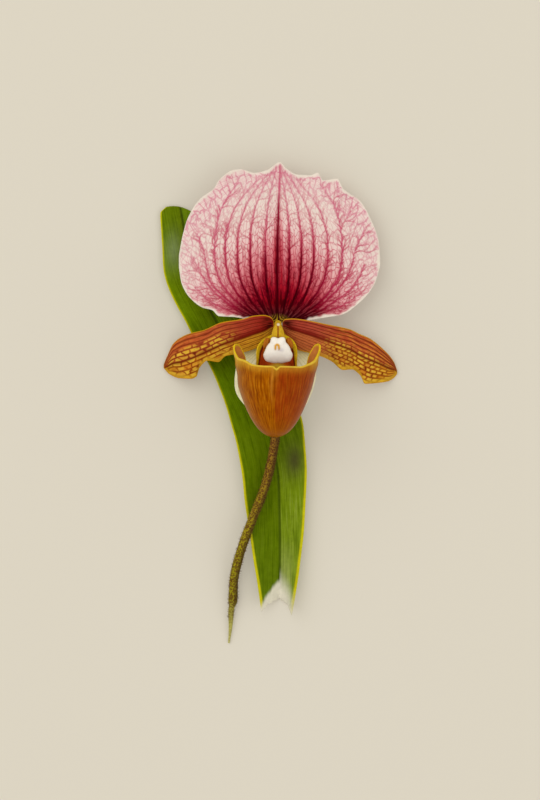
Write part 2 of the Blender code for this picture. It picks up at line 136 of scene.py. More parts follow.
def new_grid(name, columns, rows):
    """A flat grid and the shares u and v of its points, each from 0 to 1."""
    bpy.ops.object.select_all(action="DESELECT")
    bpy.ops.mesh.primitive_grid_add(x_subdivisions=columns, y_subdivisions=rows, size=1.0)
    obj = bpy.context.object
    obj.name = obj.data.name = name
    flat = points_of(obj)
    return obj, np.clip(flat[0::3] + 0.5, 0.0, 1.0), np.clip(flat[1::3] + 0.5, 0.0, 1.0)


def shape(obj, x, y, z):
    """Moves a grid's points to their places."""
    obj.data.vertices.foreach_set("co", set_down(x, y, z).ravel())
    obj.data.update()


def store(obj, **layers):
    """Keeps one number at each point of a mesh under each name, for its material."""
    for name, values in layers.items():
        layer = obj.data.attributes.new(name, "FLOAT", "POINT")
        layer.data.foreach_set("value", np.asarray(values, dtype=np.float32))


def lay_flat(obj, name, across, along):
    """Keeps a flat pair of coordinates over a piece, as a UV map for a pattern that follows it."""
    layer = obj.data.uv_layers.new(name=name)
    corners = np.empty(len(obj.data.loops), dtype=np.int32)
    obj.data.loops.foreach_get("vertex_index", corners)
    pairs = np.column_stack((across, along))[corners]
    layer.data.foreach_set("uv", pairs.astype(np.float32).ravel())


FULLNESS_LEVELS = 20


def thicken(obj, thickness, fullness, lining=0):
    """Gives a blade its thickness behind, scaled at each point by a fullness from 0 to 1."""
    group = obj.vertex_groups.new(name="fullness")
    levels = np.round(fullness * FULLNESS_LEVELS).astype(int)
    for level in range(FULLNESS_LEVELS + 1):
        points = np.flatnonzero(levels == level)
        group.add(points.tolist(), level / FULLNESS_LEVELS, "REPLACE")
    solidify = obj.modifiers.new("thickness", "SOLIDIFY")
    solidify.thickness = thickness * MM
    solidify.offset = -1.0
    solidify.vertex_group = "fullness"
    solidify.material_offset = lining
    bpy.ops.object.modifier_apply(modifier="thickness")
    obj.vertex_groups.clear()
    bpy.ops.object.shade_smooth()


INK_END = 2.2
INK_FADE = 1.2
MARK_GAP = 0.12


def ink_from(marks, x, y, reach=3):
    """How dark drawn lines are at each point. Each mark is (x, y, half width, strength)."""
    tree = kdtree.KDTree(len(marks))
    for i, mark in enumerate(marks):
        tree.insert((mark[0], mark[1], 0.0), i)
    tree.balance()
    ink = np.zeros(len(x))
    for k, spot in enumerate(zip(x.tolist(), y.tolist())):
        for _, i, distance in tree.find_n((*spot, 0.0), reach):
            half, strength = marks[i][2], marks[i][3]
            if distance < INK_END * half:
                ink[k] = max(ink[k], strength * math.exp(-INK_FADE * (distance / half) ** 2))
    return np.minimum(ink, 1.0)


def line_marks(points, half_at, strength_at, gap=MARK_GAP):
    """Marks along a smooth line, with a half width and strength for each share of its length."""
    nodes = np.array(points, float)
    lengths = np.concatenate(([0.0], np.cumsum(np.hypot(*np.diff(nodes, axis=0).T))))
    shares = np.linspace(0.0, 1.0, max(2, int(lengths[-1] / gap)))
    xs, ys = (through(list(zip(lengths, part)), shares * lengths[-1]) for part in nodes.T)
    return [(x, y, half_at(s), strength_at(s)) for x, y, s in zip(xs, ys, shares)]


# The veins first, as lines on the blade. The main ones arch up like meridians.
VEIN_ARCH = (
    (1.1, 0.10), (5, 0.37), (8, 0.56), (10.5, 0.69), (14, 0.83), (18.7, 0.95), (25.5, 1),
    (30.6, 0.995), (36.4, 0.93), (41.5, 0.82), (45.2, 0.68), (48.3, 0.53), (51.3, 0.37),
    (54, 0.2), (57, 0.05),
)
ARCHED_VEINS = (-21.6, -17.9, -13.8, -9.5, -4.3, 3.9, 8.0, 12.2, 17.0, 21.9)
SPREADING_VEINS = (
    ((1, 1.5), (11, 5.8), (19.7, 13.2), (23.8, 18.7), (25.5, 23.8), (26.5, 27.9), (29.6, 34.2)),
    ((1.2, 1.4), (13, 5.8), (19, 9.6), (23.5, 12.9), (26.9, 16.7), (29.6, 22.4)),
    ((1.4, 1.3), (13.5, 5.2), (19, 7.2), (24, 9.6), (28, 12.6)),
    (
        (-1, 1.5), (-12, 6.2), (-18.5, 11.5), (-22.8, 16), (-24.3, 21.4), (-25.3, 27.2),
        (-27.6, 33),
    ),
    ((-1.2, 1.4), (-12.5, 5.7), (-17.7, 9.6), (-22.1, 13.2), (-25.5, 17.9), (-28.9, 24.6)),
    ((-1.4, 1.3), (-13, 5.2), (-19, 7.6), (-24, 10.4), (-28.4, 14.6)),
)
MIDRIB = ((0.0, 1.2), (-0.3, 8.5), (-0.2, 23.8), (0.2, 42.5), (0.6, 52.0), (0.7, 56.9))
MINOR_VEINS = (-25.0, -19.7, -15.8, -11.7, -7.0, -2.2, 1.9, 5.9, 10.1, 14.6, 19.4, 25.0)
VEIN_ROOT_Y = 1.2
VEIN_TOP_Y = 56.0
NET_CELL = 0.3
NET_MIDDLE_Y = 27.0
WHITE_MARGIN = 1.1
WALK_START, WALK_STEP = -34.0, 0.1
FREE_START = 0.7
LEAST_MARKS = 5
FORK_CHECK = 0.2

rng = random.Random(11)
sepal_x = np.arange(WALK_START, 35.2, WALK_STEP)
sepal_low, sepal_high = through(SEPAL_LOWER, sepal_x), through(SEPAL_UPPER, sepal_x)
net = {}
veins = []


def within_sepal(x, y, inset):
    """Whether a point lies on the blade, that far in from its margin."""
    away = math.hypot(x, y - NET_MIDDLE_Y) + 1e-6
    x, y = x + inset * x / away, y + inset * (y - NET_MIDDLE_Y) / away
    if not SEPAL_LEFT < x < SEPAL_RIGHT:
        return False
    i = int((x - WALK_START) / WALK_STEP)
    return sepal_low[i] < y < sepal_high[i]


def cell_at(x, y):
    """The cell of the net that a point lies in."""
    return round(x / NET_CELL), round(y / NET_CELL)


def draw(points, owner):
    """Keeps a vein's marks and notes the cells of the net that they take."""
    veins.extend(points)
    for x, y, _, _ in points:
        net.setdefault(cell_at(x, y), owner)


def grow(x, y, heading, half, strength, owner, length, depth):
    """A side vein that leans outwards as it grows, forks, and ends where it meets another."""
    marks = []
    gone, since_fork, bend = 0.0, 0.0, 0.0
    fork_at = rng.uniform(0.9, 2.4)
    side = rng.choice((-1.0, 1.0))
    forks = []
    while gone < length:
        outward = math.atan2(y + 6.0, 1.2 * x)
        turn = math.remainder(outward - heading, math.tau)
        bend = 0.9 * bend + rng.gauss(0.0, 0.022)
        heading += 0.02 * turn + bend
        x, y = x + MARK_GAP * math.cos(heading), y + MARK_GAP * math.sin(heading)
        if not within_sepal(x, y, WHITE_MARGIN):
            break
        holder = net.get(cell_at(x, y))
        if holder is not None and holder != owner and gone > FREE_START:
            break
        gone += MARK_GAP
        since_fork += MARK_GAP
        fade = 1.0 - 0.45 * gone / length
        marks.append((x, y, half * fade ** 0.5, strength * fade))
        if since_fork > fork_at and depth:
            forks.append((x, y, heading + side * rng.uniform(0.4, 0.75), fade))
            side, since_fork, fork_at = -side, 0.0, rng.uniform(0.9, 2.2)
    if len(marks) < LEAST_MARKS:
        return
    draw(marks, owner)
    for fx, fy, fork_heading, fade in forks:
        thinner, paler = max(0.15, 0.85 * half), strength * fade * 0.9
        grow(fx, fy, fork_heading, thinner, paler, object(), 0.65 * length, depth - 1)


def arch_point(reach, y):
    """Where an arched vein that reaches so far sideways stands at a height."""
    arch = through(VEIN_ARCH, y)
    looser = 1.0 - 0.5 * rise(17.0, 23.0, abs(reach)) * rise(25.0, 40.0, y)
    return reach * arch ** looser


main_lines = []
for reach in ARCHED_VEINS:
    heights = np.linspace(VEIN_ROOT_Y, VEIN_TOP_Y - 0.013 * reach * reach, 22)
    main_lines.append([(float(arch_point(reach, y)), float(y)) for y in heights])
main_lines += [list(line) for line in SPREADING_VEINS]
keel = line_marks(
    MIDRIB,
    lambda s: 0.85 - 0.45 * s + 0.06 * math.sin(97.0 * s),
    lambda s: 1.25 - 0.5 * s ** 4,
)
mains = []
for line in main_lines:
    mains += line_marks(line, lambda s: 0.42 - 0.22 * s, lambda s: 1.4 - 0.8 * s)
for mark in keel + mains:
    net.setdefault(cell_at(mark[0], mark[1]), "main")
for reach in MINOR_VEINS:
    heights = np.linspace(VEIN_ROOT_Y, rng.uniform(19.0, 33.0), 12)
    line = [(float(arch_point(reach, y)) + rng.uniform(-0.25, 0.25), float(y)) for y in heights]
    draw(line_marks(line, lambda s: 0.3 - 0.1 * s, lambda s: 0.9 - 0.5 * s), "minor")
for line in main_lines:
    marks = line_marks(line, lambda s: 0.0, lambda s: s, FORK_CHECK)
    since, next_at = 0.0, 0.6
    for (x, y, _, share), (x2, y2, _, _) in zip(marks, marks[1:]):
        since += FORK_CHECK
        if y < 5.0 + 0.1 * abs(x) or since < next_at:
            continue
        heading = math.atan2(y2 - y, x2 - x)
        outer = -math.copysign(1.0, x)
        side = outer if rng.random() < 0.7 else -outer
        outermost = abs(x) > 17.0 or y < 14.0
        length = rng.uniform(6.0, 14.0) if side == outer and outermost else rng.uniform(2.0, 6.0)
        strength = 1.25 - 0.4 * share if outermost else 1.45 - 1.0 * share
        if x < -15.0 and y < 25.0:
            strength *= 0.7
        heading += side * rng.uniform(0.4, 0.7)
        grow(x, y, heading, 0.31 - 0.07 * share, strength, "main", length, 3)
        since, next_at = 0.0, rng.uniform(0.45, 1.15) if outermost else rng.uniform(0.6, 1.5)

# The blade leans back, bows across its middle and ruffles at its margin.
sepal, u, v = new_grid("dorsal_sepal_blade", SEPAL_COLUMNS, SEPAL_ROWS)
x = SEPAL_LEFT + (SEPAL_RIGHT - SEPAL_LEFT) * u
low, high = through(SEPAL_LOWER, x), through(SEPAL_UPPER, x)
y = low + v * (high - low)
climb = (y - 1.1) / 57.4
across = x / 34.5
spread = np.hypot(across, (y - SEPAL_MIDDLE_Y) / 29.9)
turn = np.arctan2(y - SEPAL_MIDDLE_Y, x)
z = 15.3 - 0.16 * y + 3.0 * climb ** 3
z -= 5.5 * across ** 2 * (1.0 - 0.6 * climb)
z -= 1.1 * ridge(x, 2.6) * rise(0.1, 0.9, climb)
z += 0.6 * (np.sin(11 * turn + 11) + np.sin(19 * turn + 19)) * rise(0.68, 1.05, spread)
main = ink_from(mains, x, y)
midrib = ink_from(keel, x, y)
ink = ink_from(veins, x, y, 5)
broad = [(px, py, 2.7 * half, strength) for px, py, half, strength in keel + mains]
haze = ink_from(broad, x, y)
raised = np.maximum(np.maximum(main, midrib), 0.6 * ink)
z -= VEIN_RELIEF * raised * fall(0.85, 1.0, spread)
shape(sepal, x, y, z)

# Its colour runs from crimson at the root to pale pink, with a faint glow along the veins.
reach = x / np.maximum(through(VEIN_ARCH, y), 0.12)
streak = 0.5 + 0.28 * np.sin(2.9 * reach + 1.0) + 0.22 * np.sin(7.3 * reach + 0.4 * y)
depth = np.hypot(1.2 * (x - 0.8), y) + (5.0 * (streak - 0.5) - 3.0 * main) * rise(8.0, 18.0, y)
to_side = np.minimum(x - SEPAL_LEFT, SEPAL_RIGHT - x)
to_margin = np.minimum(np.minimum(v, 1.0 - v) * (high - low), to_side)
wave = 0.25 * np.sin(14.0 * turn) + 0.2 * np.sin(31.0 * turn + 2.0) + 0.15 * np.sin(67.0 * turn)
blush = 0.1 * haze * rise(14.0, 24.0, y) * fall(36.0, 50.0, y)
blush += 0.13 * ridge(x, 2.2) * rise(20.0, 30.0, y) * fall(42.0, 54.0, y)
low_down = rise(14.0, 22.0, y) * fall(28.0, 42.0, y)
blush += 0.04 * ridge(x, 9.0) * low_down * (0.4 + 0.6 * ink)
heart = fall(2.4, 5.0, np.hypot(0.8 * x, y - 1.0)) * rise(0.0, 0.5, np.sin(5.3 * reach))
upper_part = rise(25.0, 42.0, y)
store(
    sepal,
    main=main,
    midrib=midrib,
    ink=ink,
    flush=np.clip(1.0 - depth / 45.0 + blush, 0.0, 1.0),
    heart=heart,
    edge=fall(0.25, 1.15, to_margin + wave),
    net=rise(0.6 - 0.1 * upper_part, 0.92, spread) * (0.6 + 0.4 * upper_part),
)
lay_flat(sepal, "flow", 30.0 * np.arctan(reach / 30.0) / 0.95, np.hypot(x, y) / 2.3)
lay_flat(sepal, "fan", np.arctan2(y - 6.0, x) * 30.0 / 1.4, spread * 29.0 / 3.4)
lay_flat(sepal, "grain", reach / 0.9, np.hypot(x, y) / 6.0)
thicken(sepal, BLADE_THICKNESS, 0.3 + 0.7 * rise(0.0, 4.0, to_margin))


def colour(red, green, blue):
    """A colour given from 0 to 255 as on a screen, as the linear values that a shader takes."""
    def linear(part):
        part /= 255.0
        return part / 12.92 if part < 0.04045 else ((part + 0.055) / 1.055) ** 2.4

    return linear(red), linear(green), linear(blue), 1.0


def add_node(tree, kind, feeds=(), **settings):
    """A new shader node with its settings. Each feed is a value or a link for one socket."""
    node = tree.nodes.new("ShaderNode" + kind)
    for name, value in settings.items():
        setattr(node, name, value)
    for socket, value in dict(feeds).items():
        if isinstance(value, bpy.types.NodeSocket):
            tree.links.new(value, node.inputs[socket])
        else:
            node.inputs[socket].default_value = value
    return node


def tissue_group():
    """Living tissue: a fine mottle and the small relief of its cells, from the piece's place."""
    group = bpy.data.node_groups.new("living_tissue", "ShaderNodeTree")
    for name, way, kind in (
        ("Scale", "INPUT", "Float"),
        ("Relief", "INPUT", "Float"),
        ("Mottle", "OUTPUT", "Float"),
        ("Normal", "OUTPUT", "Vector"),
    ):
        group.interface.new_socket(name, in_out=way, socket_type="NodeSocket" + kind)
    given, taken = group.nodes.new("NodeGroupInput"), group.nodes.new("NodeGroupOutput")
    place = add_node(group, "TexCoord").outputs["Object"]
    cells = {"Vector": place, "Scale": given.outputs["Scale"], "Detail": 3.0, "Roughness": 0.6}
    noise = add_node(group, "TexNoise", cells).outputs["Fac"]
    relief = {"Height": noise, "Strength": given.outputs["Relief"], "Distance": 0.0004}
    group.links.new(noise, taken.inputs["Mottle"])
    group.links.new(add_node(group, "Bump", relief).outputs["Normal"], taken.inputs["Normal"])
    return group


LIVING_TISSUE = tissue_group()


class Finish:
    """One plant finish: colours laid over each other by masks, then a mottle and a relief.

    Colours are screen values from 0 to 255. The ground colour tints the highlights too.
    """

    def __init__(self, name, ground, roughness, scale, relief, mottle, shine=0.12):
        self.material = bpy.data.materials.new(name)
        self.material.use_nodes = True
        self.tree = self.material.node_tree
        self.shader = self.tree.nodes["Principled BSDF"]
        self.top = colour(*ground)
        self.mottle = mottle
        self.shader.inputs["Roughness"].default_value = roughness
        self.shader.inputs["Specular IOR Level"].default_value = shine
        self.shader.inputs["Specular Tint"].default_value = self.top
        grain = {"Scale": scale, "Relief": relief}
        self.tissue = self.node("Group", grain, node_tree=LIVING_TISSUE)
        self.tree.links.new(self.tissue.outputs["Normal"], self.shader.inputs["Normal"])

    def node(self, kind, feeds=(), **settings):
        """A new node in this finish."""
        return add_node(self.tree, kind, feeds, **settings)

    def math(self, operation, first, second):
        """One sum on two masks or numbers."""
        node = self.node("Math", {0: first, 1: second}, operation=operation, use_clamp=True)
        return node.outputs["Value"]

    def times(self, first, second):
        """Two masks, or a mask and a number, multiplied."""
        return self.math("MULTIPLY", first, second)

    def spread(self, source, low, high, at_low=0.0, at_high=1.0):
        """A mask that goes from one value to another while its source goes from low to high."""
        limits = {"From Min": low, "From Max": high, "To Min": at_low, "To Max": at_high}
        return self.node("MapRange", {"Value": source, **limits}).outputs["Result"]

    def mask(self, name, share=1.0):
        """The mask that a piece's points keep under a name, scaled by a share."""
        mask = self.node("Attribute", attribute_name=name).outputs["Fac"]
        return mask if share == 1.0 else self.times(mask, share)

    def ramp(self, source, *stops):
        """Colours along a mask. Each stop is a place and a colour."""
        node = self.node("ValToRGB", {"Fac": source})
        elements = node.color_ramp.elements
        while len(elements) < len(stops):
            elements.new(0.5)
        for element, (place, *tone) in zip(elements, stops):
            element.position, element.color = place, colour(*tone)
        return node.outputs["Color"]

    def web(self, name, width, wander=0.5):
        """Lines between the cells of a net laid out by a UV map."""
        place = self.node("UVMap", uv_map=name).outputs["UV"]
        noise = self.node("TexNoise", {"Vector": place, "Scale": 1.3, "Detail": 2.0})
        shift = self.node(
            "VectorMath",
            {0: noise.outputs["Color"], 1: (wander, wander, 0.0), 2: place},
            operation="MULTIPLY_ADD",
        )
        cells = self.node(
            "TexVoronoi",
            {"Vector": shift.outputs["Vector"], "Scale": 1.0},
            voronoi_dimensions="2D",
            feature="DISTANCE_TO_EDGE",
        )
        away = self.math("DIVIDE", cells.outputs["Distance"], width)
        return self.math("SUBTRACT", 1.0, away)

    def streaks(self, low, high, share=1.0):
        """A mask of fine streaks that run the way the grain lies, scaled by a share."""
        place = self.node("UVMap", uv_map="grain").outputs["UV"]
        grain = {"Vector": place, "Scale": 1.0, "Detail": 3.0}
        noise = self.node("TexNoise", grain, noise_dimensions="2D")
        return self.spread(noise.outputs["Fac"], low, high, 0.0, share)

    def dots(self, scale, radius):
        """A mask of round spots, from the piece's place."""
        place = self.node("TexCoord").outputs["Object"]
        cells = self.node("TexVoronoi", {"Vector": place, "Scale": scale})
        return self.spread(cells.outputs["Distance"], radius, 0.6 * radius)

    def lay(self, tone, share):
        """Lays a colour over what is there, as far as a mask says."""
        tone = colour(*tone) if isinstance(tone, tuple) else tone
        self.top = self.node("Mix", {0: share, 6: self.top, 7: tone}, data_type="RGBA").outputs[2]

    def paint(self, **layers):
        """Lays colours over named masks in turn. Each has red, green, blue and the most of it."""
        for name, (*tone, share) in layers.items():
            self.lay(tuple(tone), self.mask(name, share))

    def close(self):
        """Lightens and darkens the whole by the mottle and feeds the shader."""
        mottle = self.tissue.outputs["Mottle"]
        swing = self.spread(mottle, 0.3, 0.7, 1.0 - self.mottle, 1.0 + self.mottle)
        base = self.top[:3] if isinstance(self.top, tuple) else self.top
        tint = self.node("VectorMath", {0: base, "Scale": swing}, operation="SCALE")
        self.tree.links.new(tint.outputs["Vector"], self.shader.inputs["Base Color"])
        return self.material


finish = Finish("dorsal_sepal_tissue", (170, 50, 50), 0.55, 700.0, 0.12, 0.05, 0.05)
flush = finish.mask("flush")
finish.top = finish.ramp(
    flush,
    (0, 226, 213, 199), (0.25, 225, 194, 187), (0.42, 214, 140, 142), (0.55, 190, 80, 90),
    (0.66, 162, 22, 38), (0.78, 124, 2, 8), (1, 96, 0, 2),
)
finish.paint(net=(226, 180, 184, 0.35))
fine = finish.ramp(
    flush, (0.0, 208, 132, 148), (0.3, 190, 66, 90), (0.6, 140, 12, 36), (0.9, 60, 0, 6)
)
crowded = finish.spread(flush, 0.0, 0.35, 0.5, 0.95)
finish.lay(fine, finish.times(finish.web("flow", 0.12), crowded))
finish.lay(fine, finish.times(finish.web("fan", 0.16, 1.1), finish.mask("net")))
VEIN_COLOURS = {
    "ink": (
        (0, 188, 66, 98), (0.2, 178, 44, 78), (0.35, 160, 22, 56), (0.6, 118, 0, 22),
        (0.9, 46, 0, 4),
    ),
    "main": (
        (0, 198, 98, 126), (0.2, 190, 80, 108), (0.42, 172, 44, 76), (0.56, 132, 8, 38),
        (0.65, 78, 0, 12), (0.9, 34, 0, 4),
    ),
    "midrib": (
        (0, 190, 76, 106), (0.2, 148, 18, 52), (0.4, 118, 0, 28), (0.65, 84, 0, 12),
        (0.9, 34, 0, 4),
    ),
}
for kind, stops in VEIN_COLOURS.items():
    finish.lay(finish.ramp(flush, *stops), finish.mask(kind))
deep = finish.spread(flush, 0.5, 0.7)
finish.lay((40, 0, 4), finish.times(finish.streaks(0.48, 0.62, 0.7), deep))
finish.paint(heart=(186, 150, 30, 0.85), edge=(226, 214, 198, 1.0))
sepal.data.materials.append(finish.close())
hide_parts("dorsal_sepal")
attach(sepal, "root")


# Petals: two straps, each one thin blade with a waved lower margin, that arch back to the surface.
# Dark veins run their whole length. Bars between the veins leave rows of yellow checks.
PETALS = {
    "petal_left": dict(
        lower=(
            (-39.1, -12.9), (-37.1, -15), (-33.6, -16.4), (-29.6, -16.6), (-27.8, -15.8),
            (-26.7, -12.8), (-24, -10.4), (-20.4, -10.9), (-17.7, -8.8), (-14.3, -8.2),
            (-7.5, -6.3), (-5.4, -4.8), (-2.1, -1.4), (-1.3, -0.4),
        ),
        upper=(
            (-39.1, -11.6), (-38.1, -9.2), (-35.7, -4.4), (-33, -2.3), (-29.9, -1), (-25.5, 0),
            (-19, 2.7), (-12.5, 3.7), (-7.8, 4.9), (-5, 5.1), (-3.3, 4.8), (-2.1, 4.1),
            (-1.3, 2.8),
        ),
        guide=(
            (-39.1, -14.8), (-33, -17.6), (-24, -13.4), (-14, -8.8), (-5.4, -5), (-2.1, -1.6),
            (-1.3, -0.6),
        ),
        phase=0.6,
        fold=4.0 / 9.0,
        rows=9.0,
        check=2.3,
        checks_rise=0.22,
    ),
    "petal_right": dict(
        lower=(
            (1.5, -0.6), (2.1, -1.4), (5.4, -4.8), (6.8, -6.8), (10.5, -7.8), (15.2, -9.2),
            (18.4, -10.8), (22.1, -13.6), (25.2, -13.4), (27.9, -15.3), (29.8, -18.3),
            (33, -18.1), (37.4, -17.5), (39.6, -16.3), (40.8, -14.9),
        ),
        upper=(
            (1.5, 2.8), (2.4, 3.7), (5.1, 3.9), (8.2, 3.6), (17, 1.9), (24.5, 0.3),
            (27.9, -1.3), (31, -2.6), (36.7, -7.1), (39.6, -10.6), (40.8, -13.6),
        ),
        guide=(
            (1.5, -0.8), (2.1, -1.6), (5.4, -4.8), (15, -9.6), (24, -14.6), (32, -19),
            (37.4, -18.6), (40.8, -15.6),
        ),
        phase=2.4,
        fold=6.0 / 11.0,
        rows=11.0,
        check=1.7,
        checks_rise=0.06,
    ),
}
PETAL_COLUMNS, PETAL_ROWS = 250, 120
PETAL_ROOT_Z, PETAL_DROP = 17.6, 16.3
PETAL_REST_Z = 0.55
PETAL_CROWN = 0.54


def scatter(number, seed):
    """A fixed random number from 0 to 1 for each whole number."""
    turn = np.sin(number * 12.9898 + seed * 78.233) * 43758.5453
    return turn - np.floor(turn)


def make_petal(name, lower, upper, guide, phase, fold, rows, check, checks_rise):
    """One petal's blade, with its veins, bars, checks and yellow margin kept at its points.

    The guide is a smooth lower line that the rows of checks run along. The fold is the share of
    the width, from below, where the bronze upper half starts. A check is one cell's length.
    """
    petal, u, v = new_grid(name + "_blade", PETAL_COLUMNS, PETAL_ROWS)
    x = lower[0][0] + u * (lower[-1][0] - lower[0][0])
    low, high = through(lower, x), through(upper, x)
    y = low + v * (high - low)
    out = np.abs(x) / max(abs(point[0]) for point in lower)
    right = lower[0][0] > 0.0
    z = PETAL_ROOT_Z - PETAL_DROP * out ** 2.1
    below = np.clip(1.0 - v / PETAL_CROWN, 0.0, 1.0)
    above = np.clip((v - PETAL_CROWN) / (1.0 - PETAL_CROWN), 0.0, 1.0)
    z -= 0.9 * above ** 2 + 1.5 * below ** 2
    z += 0.8 * np.sin(2.0 * math.pi * np.abs(x) / 7.5 + phase) * below ** 2 * rise(0.2, 0.45, out)
    z = PETAL_REST_Z + 0.6 * np.log1p(np.exp((z - PETAL_REST_Z) / 0.6))

    width = high - low
    along = np.abs(x) * 0.88 - (y - 0.5 * (low + high)) * 0.47
    down = (high - y) / np.maximum(high - through(guide, x), 0.5)
    wobble = np.sin(0.9 * x + 1.7 * y) + np.sin(1.9 * x - 1.1 * y + 2.0)
    wobble += np.sin(0.6 * x + 3.1 * y + 4.0)
    row = (1.0 - down) * rows + 0.1 * np.sin(0.35 * along + phase) + 0.02 * wobble
    number = np.floor(row)
    to_vein = np.abs(row - np.round(row)) / rows * width
    to_minor = np.abs(row - number - 0.5) / rows * width
    vein = ridge(to_vein, 0.19 + 0.05 * out + 0.1 * above)
    vein *= 0.7 + 0.3 * scatter(np.round(row), phase)
    minor = 0.55 * ridge(to_minor, 0.12) * fall(0.4, 0.65, out)
    bar_place = along / check + 0.5 * (number % 2) + 0.4 * scatter(number, 3.0) + 0.09 * wobble
    bar_number = np.round(bar_place)
    to_bar = np.abs(bar_place - bar_number) * check
    bar = ridge(to_bar, 0.26) * (0.35 + 0.65 * scatter(bar_number + 17.0 * number, 5.0))
    past_fold = 1.0 - down - fold
    bar *= 1.0 - 0.75 * rise(checks_rise, checks_rise + 0.12, past_fold)
    cell = scatter(np.floor(bar_place) + 31.0 * number, 8.0)
    upper_half = rise(fold - 0.04, fold + 0.04, 1.0 - down)
    zone = rise(0.3, 0.5, out) * fall(checks_rise, checks_rise + 0.1, past_fold)
    window = rise(0.12, 0.42, to_vein) * rise(0.1, 0.42, to_bar) * zone * rise(-0.25, 0.6, cell)
    to_margin = np.minimum(np.minimum(v, 1.0 - v) * width, 60.0 * (1.0 - out) + 0.05)
    to_margin = np.minimum(to_margin, np.abs(x) - 1.2)
    fold_line = ridge(past_fold * width, 0.5) * rise(0.02, 0.1, out)
    lines = vein, minor, bar * rise(0.25, 0.45, out), fold_line
    inner = fall(0.3, 0.55, out)
    store(
        petal,
        ink=np.clip(np.max(lines, axis=0), 0.0, 1.0),
        bronze=upper_half,
        out=out,
        check=window,
        rose=inner * (1.0 - 0.3 * upper_half) * right,
        fleck=upper_half * rise(0.25, 0.6, out) * (0.4 + 0.6 * right),
        crease=ridge((past_fold - 0.05) * width, 0.8) * inner * rise(0.03, 0.1, out),
        blot=fall(0.07, 0.17, out) * rise(0.36, 0.5, v) * rise(0.4, 1.2, to_margin),
        edge=fall(0.1, 0.5, to_margin),
        hem=fall(0.6, 2.0, to_margin) * (1.0 - upper_half) * rise(0.15, 0.5, out),
    )
    shape(petal, x, y, z - VEIN_RELIEF * vein * rise(0.5, 1.5, to_margin))
    lay_flat(petal, "grain", (1.0 - down) * rows * 3.0, along / 3.5)
    thicken(petal, BLADE_THICKNESS, 0.35 + 0.65 * rise(0.0, 3.0, to_margin))
    return petal


finish = Finish("petal_tissue", (206, 140, 30), 0.42, 800.0, 0.25, 0.08)
out = finish.mask("out")
# The ground colour is painted lighter at the petal's inner end: painted light that offsets the
# shade between the petal, the pouch and its claw.
finish.top = finish.ramp(
    out,
    (0, 214, 158, 40), (0.3, 212, 148, 38), (0.5, 194, 114, 30), (0.75, 190, 102, 26),
    (1, 220, 146, 28),
)
bronze = finish.ramp(
    out,
    (0, 128, 16, 16), (0.15, 156, 40, 32), (0.3, 170, 62, 42), (0.6, 184, 84, 44),
    (1, 186, 88, 38),
)
finish.lay(bronze, finish.mask("bronze"))
finish.paint(rose=(206, 92, 70, 0.7))
flecks = finish.times(finish.streaks(0.5, 0.36), finish.mask("fleck", 0.55))
finish.lay((222, 156, 48), flecks)
finish.paint(check=(216, 170, 52, 1.0))
dark = finish.ramp(out, (0.0, 64, 4, 4), (0.4, 86, 10, 6), (1.0, 86, 12, 4))
finish.lay(dark, finish.mask("ink", 0.92))
finish.lay((118, 30, 8), finish.streaks(0.5, 0.7, 0.4))
finish.paint(crease=(104, 6, 8, 0.8))
finish.lay((44, 2, 4), finish.times(finish.streaks(0.42, 0.55), finish.mask("blot")))
finish.paint(hem=(208, 164, 40, 0.65), edge=(192, 138, 20, 1.0))
PETAL_TISSUE = finish.close()
for name, outline in PETALS.items():
    petal = make_petal(name, **outline)
    petal.data.materials.append(PETAL_TISSUE)
    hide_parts(name)
    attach(petal, "root")


# Synsepal: the two lower sepals, grown together in one pale blade behind the pouch.
# Only its sides show from above, with faint green veins.
SYNSEPAL_LOWER = (
    (-14.8, -19), (-14.4, -21), (-12.6, -24.1), (-6.8, -29.9), (-3.4, -33), (-0.8, -34.2),
    (1.8, -33.4), (5, -30.5), (8.6, -26.8), (11.1, -22.6), (12.7, -17.6), (13, -16),
)
SYNSEPAL_UPPER = (
    (-14.8, -16.5), (-14.2, -12), (-12.5, -8.6), (-9, -5.4), (-5, -3.2), (-2.5, -2.6),
    (0, -2.4), (2.5, -2.6), (5, -3.2), (9, -5.6), (11.5, -9), (12.8, -12.5), (13, -14),
)
SYNSEPAL_LEFT, SYNSEPAL_WIDTH = -14.8, 27.8
SYNSEPAL_VEIN_GAP = 1.9

synsepal, u, v = new_grid("synsepal_blade", 110, 120)
x = SYNSEPAL_LEFT + SYNSEPAL_WIDTH * u
low, high = through(SYNSEPAL_LOWER, x), through(SYNSEPAL_UPPER, x)
y = low + v * (high - low)
z = 15.7 + 0.13 * y - 0.018 * x * x
to_margin = np.minimum(v, 1.0 - v) * (high - low)
place = x / (0.25 + 0.75 * rise(-2.0, -16.0, y)) / SYNSEPAL_VEIN_GAP
vein = ridge(place - np.round(place), 0.12) * rise(0.5, 2.0, to_margin)
store(synsepal, ink=vein, out=rise(-2.0, -14.0, y))
shape(synsepal, x, y, z - 0.04 * vein)
thicken(synsepal, BLADE_THICKNESS, 0.35 + 0.65 * rise(0.0, 3.0, to_margin))
finish = Finish("synsepal_tissue", (216, 206, 166), 0.5, 700.0, 0.15, 0.06)
finish.top = finish.ramp(finish.mask("out"), (0.0, 204, 194, 120), (1.0, 230, 222, 184))
finish.paint(ink=(170, 170, 92, 0.5))
synsepal.data.materials.append(finish.close())
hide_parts("synsepal")
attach(synsepal, "root")


